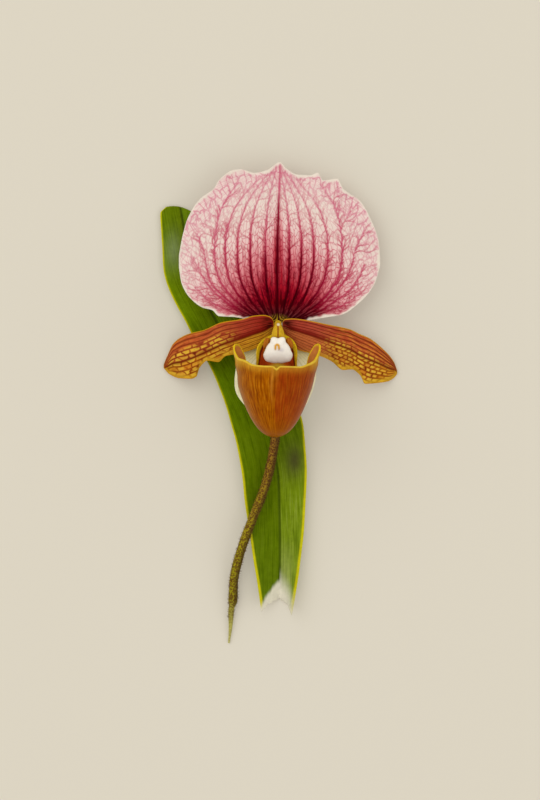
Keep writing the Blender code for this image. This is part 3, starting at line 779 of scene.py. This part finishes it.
# Lip: the third petal, blown up into a glossy slipper that is open above, with a flap at each side
# of its mouth. A claw with turned-in margins joins the back of the mouth to the column.
LIP_RIM = (
    (0, -13.3), (6, -12.4), (36, -12.5), (52, -11.6), (72, -10.2), (90, -7.3), (103, -5.1),
    (112, -4.7), (120, -5.2), (126, -7.4), (130, -12), (134, -15.2), (140, -16.3), (146, -15.2),
    (150, -8.6), (155, -5.2), (163, -2.8), (172, -1.5), (180, -1),
)
LIP_COLUMNS, LIP_ROWS = 380, 120
LIP_TOE_Y = -35.5
LIP_LENGTH = 22.6
LIP_HALF_WIDTH, LIP_HALF_DEPTH = 13.5, 9.6
LIP_MIDDLE_Z = 26.0
LIP_WALL = 0.9
SEAM_ANGLE = -6.0


def merge(obj, gap, outward=True):
    """Joins points closer than a gap, and turns a closed shape's faces outwards."""
    bpy.ops.object.mode_set(mode="EDIT")
    bpy.ops.mesh.select_all(action="SELECT")
    bpy.ops.mesh.remove_doubles(threshold=gap)
    if outward:
        bpy.ops.mesh.normals_make_consistent(inside=False)
    bpy.ops.object.mode_set(mode="OBJECT")
    bpy.ops.object.shade_smooth()


lip, u, v = new_grid("lip_pouch", LIP_COLUMNS, LIP_ROWS)
angle = 180.0 - 360.0 * u
round_lip = np.abs(angle)
rim = through(LIP_RIM, round_lip) + 1.2 * ridge(angle + 54.0, 24.0)
y = LIP_TOE_Y + (rim - LIP_TOE_Y) * v * v
share = (y - LIP_TOE_Y) / LIP_LENGTH
turn = np.radians(angle)
half_width = LIP_HALF_WIDTH * np.minimum(share, 1.05) ** 0.45
waist = rise(0.7, 0.95, share) * fall(1.05, 1.35, share)
half_width += 0.8 * rise(1.12, 1.36, share) - 0.65 * waist
half_depth = LIP_HALF_DEPTH * np.minimum(1.0, share / 0.72) ** 0.45 - 1.2 * rise(0.75, 1.2, share)
x = 0.25 * waist - (1.0 - 0.22 * share ** 4) + half_width * np.sin(turn)
z = LIP_MIDDLE_Z + 1.6 * (1.0 - share) + half_depth * np.cos(turn)
margin = 180.0 - round_lip
claw = rise(12.0, 30.0, margin) * fall(33.0, 46.0, margin)
z += 2.6 * claw * rise(-18.0, -9.0, y)
z -= 0.35 * rise(-10.0, -2.0, y) * rise(120.0, 160.0, round_lip)
degrees = np.arange(0.0, 181.0)
slope = np.interp(round_lip, degrees, np.gradient(through(LIP_RIM, degrees))) / 0.2
to_rim = (rim - y) / np.sqrt(1.0 + slope ** 2)
front = fall(100.0, 125.0, round_lip)
back = rise(138.0, 146.0, round_lip)
gather = angle / 4.6 + 0.18 * np.sin(0.5 * y + 0.1 * angle) + 0.1 * np.sin(1.1 * y + 0.3 * angle)
vein = ridge(gather - np.round(gather), 0.2)
vein *= 0.2 + 0.8 * scatter(np.round(gather), 2.0)
vein *= 0.65 + 0.35 * np.sin(0.45 * y + 2.0 * np.round(gather))
below_shield = np.exp(-((x + 0.1) / 2.0) ** 2 - ((y + 12.2) / 1.1) ** 2)
seam_reach = rise(-28.0, -17.0, y)
# The seam down the pouch's middle is a shallow groove, and the lighter line laid along it is a
# painted highlight on the gloss.
seam = ridge(angle - SEAM_ANGLE, 2.4) * seam_reach
beside_seam = 0.75 * ridge(angle + 1.6, 1.3) * seam_reach
collar = ridge(np.maximum(to_rim - 0.6, 0.0), 1.6) * front
store(
    lip,
    ink=np.clip(vein + beside_seam, 0.0, 1.0) * rise(1.0, 2.5, to_rim) * front,
    red=rise(-5.0, 4.0, angle) * (1.0 - 0.4 * rise(50.0, 90.0, angle)) * rise(-36.0, -28.0, y),
    seam=seam,
    flank=rise(45.0, 80.0, -angle),
    # Painted shade: the pouch is darkened towards its toe.
    toe=fall(-36.4, -27.0, y),
    rim=fall(0.3, 0.75, to_rim - 0.55 * back),
    claw=back,
    glint=below_shield * rise(140.0, 150.0, round_lip),
    lining=ridge(to_rim - 3.1, 0.45) * back * rise(-9.5, -6.5, y),
    corner=fall(0.5, 4.5, to_rim) * rise(48.0, 75.0, round_lip),
    collar=collar * (0.6 + 0.4 * rise(0.0, 40.0, -angle)),
    rind=fall(1.6, 2.3, to_rim) * back,
)
shape(lip, x, y, z - 0.1 * seam)
lay_flat(lip, "grain", angle / 3.0, y / 5.0)
merge(lip, 0.00001, outward=False)
rim_share = np.empty(len(lip.data.vertices))
lip.data.attributes["rim"].data.foreach_get("value", rim_share)

finish = Finish("lip_inside", (196, 122, 56), 0.45, 600.0, 0.2, 0.12)
# Painted light inside the mouth: the claw's red-brown is lighter than its own colour to offset the
# shade of the petals and the shield, and the glint is a painted highlight on the back wall below
# the shield.
finish.paint(
    claw=(196, 78, 24, 1.0), rind=(110, 26, 6, 1.0), glint=(244, 222, 70, 1.0),
    lining=(196, 160, 30, 1.0), rim=(222, 186, 28, 1.0),
)
lip.data.materials.append(finish.close())
finish = Finish("lip_outside", (160, 88, 2), 0.36, 600.0, 0.2, 0.1, 0.3)
finish.lay((120, 48, 0), finish.streaks(0.46, 0.66, 0.75))
finish.lay((184, 116, 20), finish.streaks(0.42, 0.3, 0.7))
finish.paint(
    # The darker toe is painted shade.
    red=(140, 40, 12, 0.6), flank=(158, 98, 0, 0.6), toe=(144, 78, 0, 0.6),
    # The lighter line along the seam is a painted highlight.
    ink=(96, 34, 0, 0.85), seam=(184, 116, 36, 0.75), corner=(184, 136, 10, 0.7),
    collar=(206, 160, 44, 0.5), rim=(218, 184, 56, 1.0),
)
lip.data.materials.append(finish.close())
thicken(lip, LIP_WALL, 1.0 - 0.45 * rim_share, 1)
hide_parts("lip")
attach(lip, "root")


# Column: the short stalk in the middle that carries the shield, with the sticky stigma under it.
# It is yellow, with a red-brown line down its front and a white bead at its head.
COLUMN_ROUTE = ((0.0, 2.0, 15.5), (0.0, 2.0, 18.0), (0.0, 0.4, 21.6), (0.0, -3.0, 25.2))
COLUMN_RADIUS = 1.75
COLUMN_LINE = 0.28
CLOSED_GAP = 0.000005


def along(route, share):
    """Points at shares of the way along a smooth curve through a route."""
    points = np.array(route, float)
    lengths = np.concatenate(([0.0], np.cumsum(np.linalg.norm(np.diff(points, axis=0), axis=1))))
    last = len(points) - 1
    ends = [(max(i - 1, 0), min(i + 1, last)) for i in range(last + 1)]
    tangents = np.array([(points[b] - points[a]) / (lengths[b] - lengths[a]) for a, b in ends])
    far = np.asarray(share, float) * lengths[-1]
    i = np.clip(np.searchsorted(lengths, far, side="right") - 1, 0, last - 1)
    span = (lengths[i + 1] - lengths[i])[:, None]
    s = (far - lengths[i])[:, None] / span
    return blend(s, points[i], points[i + 1], span * tangents[i], span * tangents[i + 1])


def unit(vectors):
    """The same directions, each with a length of 1."""
    return vectors / np.linalg.norm(vectors, axis=1)[:, None]


def ahead_at(route, share, step=0.005):
    """The direction of a route at shares of the way along it."""
    before, after = np.maximum(share - step, 0.0), np.minimum(share + step, 1.0)
    return unit(along(route, after) - along(route, before))


def tube(name, route, around, rings, radius_at):
    """A round body along a route, closed at both ends, with a radius for each turn and share."""
    obj, u, v = new_grid(name, around, rings)
    turn = 2.0 * math.pi * u
    centre = along(route, v)
    ahead = ahead_at(route, v)
    side = np.cross(ahead, np.array((0.0, 0.0, 1.0)))
    flat = np.linalg.norm(side, axis=1)[:, None]
    side = np.where(flat > 0.05, side / np.maximum(flat, 0.05), np.array((1.0, 0.0, 0.0)))
    up = np.cross(side, ahead)
    reach = radius_at(turn, v) * np.where((v <= 0.0) | (v >= 1.0), 0.0, 1.0)
    place = centre + reach[:, None] * (side * np.cos(turn)[:, None] + up * np.sin(turn)[:, None])
    shape(obj, *place.T)
    return obj, u, v, place


def column_radius(turn, v):
    """The column's radius: slim at its foot, and rounded off at both ends."""
    ends = rise(0.0, 0.1, v) * rise(0.0, 0.08, 1.0 - v)
    return (COLUMN_RADIUS - 0.55 * fall(0.35, 0.7, v)) * np.sqrt(ends)


column, u, v, place = tube("column_stalk", COLUMN_ROUTE, 72, 80, column_radius)
x, y, z = place.T
wing = np.sign(x) * rise(0.5, 1.5, np.abs(x)) * rise(0.5, 0.86, v) ** 2 * fall(0.9, 0.98, v)
shape(column, x + 0.5 * wing, y - 0.2 * np.abs(wing), z - 1.3 * np.abs(wing))
store(
    column,
    line=ridge(x, COLUMN_LINE) * rise(0.35, 0.5, v),
    head=fall(0.35, 0.62, np.hypot(x - 0.1, y - 1.8)) * rise(0.2, 0.3, v),
)
merge(column, CLOSED_GAP)
finish = Finish("column_tissue", (206, 166, 34), 0.4, 1200.0, 0.3, 0.15)
finish.paint(line=(132, 44, 14, 1.0), head=(238, 222, 184, 1.0))
column.data.materials.append(finish.close())
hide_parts("column")
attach(column, "root")


# Staminode: the white, waxy shield that closes the front of the column, heart shaped at its top.
# It is one solid plate, with a small yellow tooth above its middle.
SHIELD_OUTLINE = (
    (0, -2.9), (2, -2.6), (2.8, -4.4), (4.3, -6.8), (4.95, -8.9), (4.3, -10.4), (2.5, -11.1),
    (0, -11.3),
)
SHIELD_MIDDLE_Y = -7.2
SHIELD_Z = 27.0
TOOTH_X, TOOTH_Y = -0.3, -5.2


def new_ball(name, segments, rings):
    """A ball of radius 1 and the coordinates of its points."""
    bpy.ops.object.select_all(action="DESELECT")
    bpy.ops.mesh.primitive_uv_sphere_add(segments=segments, ring_count=rings, radius=1.0)
    obj = bpy.context.object
    obj.name = obj.data.name = name
    flat = points_of(obj)
    return obj, flat[0::3], flat[1::3], flat[2::3]


shield, ball_x, ball_y, ball_z = new_ball("staminode_shield", 96, 60)
corners = [(px, py - SHIELD_MIDDLE_Y) for px, py in SHIELD_OUTLINE]
outline = sorted((math.atan2(px, py), math.hypot(px, py)) for px, py in corners)
in_front = ball_z > 0.0
flat = np.hypot(ball_x, ball_y)
turn = np.arctan2(np.abs(ball_x), ball_y)
reach = flat * through(outline, turn)
x = reach * np.sin(turn) * np.sign(ball_x)
y = SHIELD_MIDDLE_Y + reach * np.cos(turn)
bow = np.hypot((x - TOOTH_X) / 0.72, np.maximum(y - TOOTH_Y + 0.55, 0.0) / 0.8)
tooth = ridge(bow - 0.85, 0.42) * rise(-7.2, -6.3, y) * in_front
groove = ridge(x, 0.5) * rise(-5.0, -3.2, y)
z = SHIELD_Z + 0.8 * ball_z - 0.9 * flat ** 2 + 0.7 * tooth - 0.25 * groove * in_front
shape(shield, x, y, z)
store(
    shield,
    tooth=np.clip(1.3 * tooth, 0.0, 1.0),
    # Painted shade: a grey-lilac patch on the right of the shield, the side turned from the light.
    smudge=np.exp(-np.hypot((x - 1.1) / 0.9, (y + 6.9) / 0.7) ** 2) * in_front,
    edge=rise(0.86, 1.0, flat),
)
bpy.ops.object.shade_smooth()
finish = Finish("shield_wax", (240, 233, 220), 0.42, 900.0, 0.1, 0.03)
# The grey-lilac patch on the shield is painted shade.
finish.paint(
    smudge=(178, 166, 176, 0.5), edge=(212, 204, 176, 0.5), tooth=(222, 158, 10, 1.0),
)
shield.data.materials.append(finish.close())
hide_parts("staminode")
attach(shield, "root")


# Anthers: the two fertile ones, a small waxy ball of pollen on each side of the column.
ANTHER_CENTRE = (3.9, -4.6, 22.2)
ANTHER_HALF = (1.1, 2.1, 1.1)

finish = Finish("pollen_wax", (176, 104, 30), 0.3, 1500.0, 0.4, 0.15)
POLLEN_WAX = finish.close()
for name, side in (("anther_left", -1.0), ("anther_right", 1.0)):
    anther, ball_x, ball_y, ball_z = new_ball(name + "_pollen", 40, 24)
    cleft = 1.0 - 0.14 * ridge(ball_x, 0.22)
    shape(
        anther,
        side * (ANTHER_CENTRE[0] + ANTHER_HALF[0] * ball_x - 0.4 * ball_y),
        ANTHER_CENTRE[1] + ANTHER_HALF[1] * ball_y * cleft,
        ANTHER_CENTRE[2] + ANTHER_HALF[2] * ball_z * cleft,
    )
    bpy.ops.object.shade_smooth()
    anther.data.materials.append(POLLEN_WAX)
    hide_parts(name)
    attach(anther, "root")


# Scape: the round, hairy flower stem, torn to a point at its lower end. Its upper end is the
# ribbed ovary that the whole flower grows from.
SCAPE_ROUTE = (
    (0, 1, 13.7), (0, -2, 12.3), (-0.1, -7, 10.6), (-0.3, -14, 8.6), (-0.5, -22, 7.1),
    (-0.6, -29.9, 6.2), (-0.9, -36.4, 5.6), (-2, -43.5, 5), (-3.2, -49, 4.8),
    (-5.3, -55.8, 5.1), (-8.5, -63.9, 5.9), (-11.6, -72.1, 5.6), (-13.6, -78.5, 4.2),
    (-15, -84.7, 2.9), (-15.4, -92.1, 2.1), (-16, -95.9, 1.6), (-16.2, -101, 1.2),
    (-16.8, -107.1, 0.45),
)
HAIR_COUNT = 2400
HAIR_RADIUS = 0.065
HAIR_LENGTHS = (0.45, 0.9)
HAIRY_PART = (0.02, 0.92)
HAIR_SINK = 0.06


def scape_radius(turn, share):
    """The stem's radius: the ribbed ovary above, the even stem, then the torn point."""
    swell = np.sin(math.pi * np.minimum(1.0, share / 0.27)) ** 0.7
    radius = 1.6 - 0.1 * rise(0.0, 0.27, share) + 0.6 * swell
    radius -= 0.5 * rise(0.868, 0.887, share) + 0.7 * rise(0.89, 1.0, share)
    rib = 0.09 * np.cos(6.0 * turn) * (1.0 - 0.8 * rise(0.26, 0.34, share))
    return radius * (1.0 + rib) + 0.03 * np.sin(60.0 * share + 2.0 * turn) * rise(0.3, 0.4, share)


scape, u, v, place = tube("scape_stem", SCAPE_ROUTE, 48, 420, scape_radius)
turn = math.tau * u
# Painted shade: the stem's right side, turned from the light, is darkened from the ovary's foot
# down to near its torn end.
dusk = rise(-0.2, 0.7, -np.cos(turn)) * rise(0.27, 0.35, v)
store(scape, length=v, dusk=dusk * (1.0 - 0.8 * rise(0.86, 0.9, v)))
merge(scape, CLOSED_GAP)
finish = Finish("scape_tissue", (124, 112, 34), 0.65, 1300.0, 0.6, 0.15)
down_stem = finish.mask("length")
finish.top = finish.ramp(
    down_stem,
    (0, 118, 120, 40), (0.3, 142, 98, 40), (0.5, 148, 120, 30), (0.7, 154, 142, 24),
    (0.86, 142, 132, 26), (0.91, 164, 158, 70), (1, 184, 178, 106),
)
spotted = finish.spread(down_stem, 0.86, 0.95, 0.85, 0.25)
finish.lay((82, 36, 24), finish.times(finish.dots(1700.0, 0.62), spotted))
# The dark brown laid on the stem's right side is painted shade.
finish.paint(dusk=(64, 44, 22, 0.7))
scape.data.materials.append(finish.close())
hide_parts("scape")
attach(scape, "root")

# The hairs are one short tapered spike, copied all over the stem and the ovary.
bpy.ops.object.select_all(action="DESELECT")
bpy.ops.mesh.primitive_cone_add(
    vertices=3, radius1=HAIR_RADIUS, radius2=0.0, depth=1.0, end_fill_type="NGON"
)
hairs = bpy.context.object
hairs.name = hairs.data.name = "scape_hairs"
spike = np.array([tuple(vert.co) for vert in hairs.data.vertices])
spike[:, 2] += 0.5
faces = [tuple(face.vertices) for face in hairs.data.polygons]
hair_rng = np.random.default_rng(5)
share = hair_rng.uniform(*HAIRY_PART, HAIR_COUNT)
turn = hair_rng.uniform(0.0, math.tau, HAIR_COUNT)
centre = along(SCAPE_ROUTE, share)
ahead = ahead_at(SCAPE_ROUTE, share)
across = unit(np.cross(ahead, np.array((0.0, 0.0, 1.0))))
upward = np.cross(across, ahead)
outward = across * np.cos(turn)[:, None] + upward * np.sin(turn)[:, None]
root = centre + outward * (scape_radius(turn, share) - HAIR_SINK)[:, None]
tilt = hair_rng.normal(0.0, 0.25, (HAIR_COUNT, 3))
point = unit(outward + tilt - 0.25 * ahead)
length = hair_rng.uniform(*HAIR_LENGTHS, HAIR_COUNT)
first = unit(np.cross(point, ahead))
second = np.cross(point, first)
spots = (
    root[:, None, :]
    + first[:, None, :] * spike[None, :, 0, None]
    + second[:, None, :] * spike[None, :, 1, None]
    + point[:, None, :] * (spike[None, :, 2, None] * length[:, None, None])
).reshape(-1, 3)
spots[:, 2] = np.maximum(spots[:, 2], 0.05)
copies = [
    tuple(corner + len(spike) * i for corner in face) for i in range(HAIR_COUNT) for face in faces
]
hairs.data.clear_geometry()
hairs.data.from_pydata(set_down(*spots.T), [], copies)
hairs.data.update()
finish = Finish("hair", (92, 58, 38), 0.6, 900.0, 0.0, 0.2)
hairs.data.materials.append(finish.close())
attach(hairs, "root")


# Bract: the small green sheath that wraps the foot of the ovary, open along its upper side.
BRACT_FOOT, BRACT_REACH = 0.27, 0.14
BRACT_VEINS = 14.0

bract, u, v = new_grid("bract_sheath", 70, 50)
share = BRACT_FOOT - BRACT_REACH * v
centre = along(SCAPE_ROUTE, share)
side = np.array((1.0, 0.0, 0.0))
up = unit(np.cross(ahead_at(SCAPE_ROUTE, share), side))
turn = 2.7 * (1.0 - 0.97 * v ** 2.5) * (2.0 * u - 1.0)
swell = 0.6 * rise(0.0, 0.5, v) + 0.5 * v * v
radius = (1.5 + swell) * 1.09 + 0.95
vein = ridge(u * BRACT_VEINS - np.round(u * BRACT_VEINS), 0.16)
outward = side * np.sin(turn)[:, None] - up * np.cos(turn)[:, None]
shape(bract, *(centre + (radius + 0.05 * vein)[:, None] * outward).T)
off_middle = np.abs(2.0 * u - 1.0)
store(bract, ink=vein, edge=rise(0.93, 1.0, off_middle))
thicken(bract, 0.6, 1.0 - 0.5 * rise(0.8, 1.0, off_middle))
finish = Finish("bract_tissue", (128, 142, 62), 0.5, 900.0, 0.3, 0.12)
finish.paint(ink=(98, 116, 40, 0.7), edge=(168, 166, 96, 1.0))
bract.data.materials.append(finish.close())
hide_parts("bract")
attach(bract, "root")


# Leaf: one leathery strap with a groove along its midrib, which lies keel down on the surface.
# Its tip is blunt, its margins are pale yellow and its lower end is torn white.
LEAF_MIDRIB = (
    (-33.3, 41.8, 0), (-31.3, 30.6, 0), (-28.9, 18.7, 0), (-23.1, 6.8, 0), (-15.3, -6.8, 0),
    (-8.2, -20.4, 0), (-3.6, -32.3, 0), (-1.4, -40.8, 0), (0, -49.3, 0), (0.5, -61.2, 0),
    (0.7, -74.8, 0), (0.5, -95.2, 0),
)
LEAF_LEFT_WIDTH = (
    (0, 5), (0.01, 7.1), (0.04, 7.8), (0.1, 8.8), (0.15, 9.5), (0.2, 9.4), (0.25, 9.3),
    (0.3, 9.6), (0.36, 9.6), (0.45, 10.6), (0.55, 11.8), (0.66, 12.2), (0.72, 12), (0.81, 10.5),
    (0.88, 9.1), (0.93, 7.8), (1, 6),
)
LEAF_RIGHT_WIDTH = (
    (0, 4.6), (0.02, 6), (0.06, 7.3), (0.15, 8.2), (0.3, 9.6), (0.45, 10.8), (0.56, 11.9),
    (0.63, 10.7), (0.72, 9.3), (0.82, 8.1), (0.88, 7), (0.93, 6.1), (1, 4.1),
)
LEAF_RISE = ((0.0, 0.5), (0.1, 1.2), (0.3, 2.3), (0.5, 3.0), (0.75, 3.0), (0.85, 3.6), (1.0, 5.2))
LEAF_LENGTH_MM = 150.0
LEAF_NOTCH = 8.6
LEAF_LINES = 16
LEAF_KEEL_Z = 0.9
LEAF_THICKNESS = 0.9
LEAF_TEETH = (0.9, 1.8)

leaf, u, v = new_grid("leaf_blade", 100, 340)
side = 1.0 - 2.0 * u
part = np.abs(side)
end = 1.0 - LEAF_NOTCH / LEAF_LENGTH_MM * (1.0 - part ** 1.1) * 0.42
share = end * (1.0 - v)
centre = along(LEAF_MIDRIB, share)
ahead = ahead_at(LEAF_MIDRIB, share, 0.004)
left = side > 0.0
width = np.where(left, through(LEAF_LEFT_WIDTH, share), through(LEAF_RIGHT_WIDTH, share))
tip = 0.5 * (1.0 - part ** 2) * fall(0.0, 0.1, share)
tip += (2.1 * side - 0.9 * part ** 2) * fall(0.0, 0.06, share)
ragged = 0.15 * np.sin(41.0 * u) + 0.08 * np.sin(97.0 * u + 1.0)
ragged -= rise(0.6, 1.0, part) * np.where(left, *LEAF_TEETH)
back = tip + ragged * rise(0.93, 1.0, share / end)
x = centre[:, 0] + ahead[:, 1] * side * width - ahead[:, 0] * back
y = centre[:, 1] - ahead[:, 0] * side * width - ahead[:, 1] * back
bank = np.clip((part - 0.09) / 0.91, 0.0, 1.0)
groove = ridge(side * width, 0.45)
line = np.abs(part * LEAF_LINES - np.round(part * LEAF_LINES))
vein = ridge(line, 0.2) * rise(0.05, 0.12, part)
z = LEAF_KEEL_Z + through(LEAF_RISE, share) * bank ** 1.25 - 0.3 * groove - 0.04 * vein
to_margin = np.minimum(width * (1.0 - part), LEAF_LENGTH_MM * share + 0.6)
past_tear = LEAF_LENGTH_MM * (share - 1.0) + LEAF_NOTCH * (1.0 - part ** 1.1)
past_tear += 0.12 * np.sin(61.0 * u) + 0.2 * np.sin(19.0 * u)
lay_flat(leaf, "grain", side * width / 0.45, LEAF_LENGTH_MM * share / 12.0)
store(
    leaf,
    left=rise(-0.06, 0.06, side),
    ink=vein * (0.4 + 0.6 * scatter(np.round(part * LEAF_LINES) + 40.0 * left, 3.0)),
    edge=fall(0.2, 0.75, to_margin - 0.3 * rise(0.5, 0.8, share)),
    midrib=groove,
    torn=np.where(left, rise(-2.6, -0.2, past_tear), rise(-7.0, 2.5, past_tear)),
    length=share,
    # A dark smudge on the leaf's right half, a little past the pouch's toe.
    smudge=np.exp(-np.hypot((x - 5.6) / 3.2, (y + 44.4) / 5.6) ** 2) * rise(0.0, 0.1, -side),
    pale=rise(0.55, 0.9, share) * rise(0.0, 0.15, -side) * fall(0.75, 1.0, part),
    wan=rise(0.82, 0.97, share) * rise(0.0, 0.08, -side) * fall(0.3, 0.85, part),
    # Painted highlight: a pale grey-green patch near the leaf's upper left stands in for the sheen
    # of its gloss.
    bloom=np.exp(-np.hypot((x + 35.7) / 2.6, (y - 27.2) / 5.5) ** 2),
)
shape(leaf, x, y, z)
thicken(leaf, LEAF_THICKNESS, 0.25 + 0.75 * rise(0.0, 2.2, to_margin) - 0.34 * groove)
flat = points_of(leaf)
flat[2::3] = np.maximum(flat[2::3], 0.0)
leaf.data.vertices.foreach_set("co", flat)
leaf.data.update()
finish = Finish("leaf_tissue", (104, 134, 24), 0.4, 500.0, 0.25, 0.1, 0.08)
along_leaf = finish.mask("length")
# Along the leaf, the green is painted lighter from its tip to where the left petal crosses it:
# painted light that offsets the shade of the sepal and petal above. The left half below follows
# the same course.
finish.top = finish.ramp(
    along_leaf,
    (0, 104, 130, 14), (0.15, 118, 146, 12), (0.4, 112, 142, 8), (0.52, 98, 124, 8),
    (0.7, 116, 138, 14), (1, 126, 146, 34),
)
# Painted shade: the left half of the blade, the bank of the groove that faces away from the light,
# is painted a darker green than the right half.
left_half = finish.ramp(
    along_leaf,
    (0, 98, 116, 6), (0.15, 112, 136, 4), (0.4, 108, 136, 2), (0.58, 96, 118, 2),
    (0.75, 84, 104, 0), (1, 88, 110, 2),
)
finish.lay(left_half, finish.mask("left", 0.85))
finish.lay((60, 82, 0), finish.streaks(0.5, 0.72, 0.5))
pale = finish.math("ADD", finish.mask("pale", 0.8), 0.06)
finish.lay((142, 158, 58), finish.times(finish.streaks(0.5, 0.3), pale))
finish.paint(
    wan=(170, 176, 104, 0.6), ink=(58, 84, 4, 0.35), midrib=(50, 66, 10, 0.8),
    # The pale patch near the upper left is a painted highlight.
    bloom=(150, 164, 120, 0.45), smudge=(76, 76, 36, 0.95), edge=(196, 188, 22, 1.0),
    torn=(217, 211, 191, 1.0),
)
leaf.data.materials.append(finish.close())
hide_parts("leaf")
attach(leaf, "root")


# Stage: a pale floor that glows faintly, so shadows on it stay pale, a soft light from the upper
# left and a camera that looks straight down.
FLOOR_GLOW = 0.27
SKY_STRENGTH = 0.76
LIGHTS = (
    ("key", (-0.9, 0.8, 1.6), 15.0, 2.0),
    ("fill", (1.3, -0.6, 1.2), 6.0, 1.5),
)
LENS_MM = 300.0
SENSOR_MM = 36.0
FRAME_HEIGHT_MM = 272.0
SHARP_PLANE_MM = 15.0
CAMERA_X, CAMERA_Y = -0.00332, 0.00108

bpy.ops.object.select_all(action="DESELECT")
bpy.ops.mesh.primitive_plane_add(size=6.0, location=(0.0, 0.0, 0.0))
floor = bpy.context.object
floor.name = "floor"
paper = bpy.data.materials.new("pale_paper")
paper.use_nodes = True
for socket, value in (
    ("Base Color", colour(184, 178, 163)),
    ("Roughness", 0.9),
    ("Emission Color", colour(222, 214, 197)),
    ("Emission Strength", FLOOR_GLOW),
):
    paper.node_tree.nodes["Principled BSDF"].inputs[socket].default_value = value
floor.data.materials.append(paper)

world = bpy.data.worlds.new("studio")
world.use_nodes = True
world.node_tree.nodes["Background"].inputs["Color"].default_value = (1.0, 0.98, 0.95, 1.0)
world.node_tree.nodes["Background"].inputs["Strength"].default_value = SKY_STRENGTH
bpy.context.scene.world = world
for name, place, energy, size in LIGHTS:
    bpy.ops.object.light_add(type="AREA", location=place)
    light = bpy.context.object
    light.name = name
    light.data.energy = energy
    light.data.size = size
    light.rotation_euler = Vector(place).to_track_quat("Z", "Y").to_euler()

camera_z = MM * (SHARP_PLANE_MM + FRAME_HEIGHT_MM * LENS_MM / SENSOR_MM)
bpy.ops.object.camera_add(location=(CAMERA_X, CAMERA_Y, camera_z), rotation=(0.0, 0.0, 0.0))
camera = bpy.context.object
camera.data.lens = LENS_MM
camera.data.sensor_width = SENSOR_MM
camera.data.clip_end = 20.0
bpy.context.scene.camera = camera
bpy.context.scene.view_settings.view_transform = "Standard"

low, high = cad_box
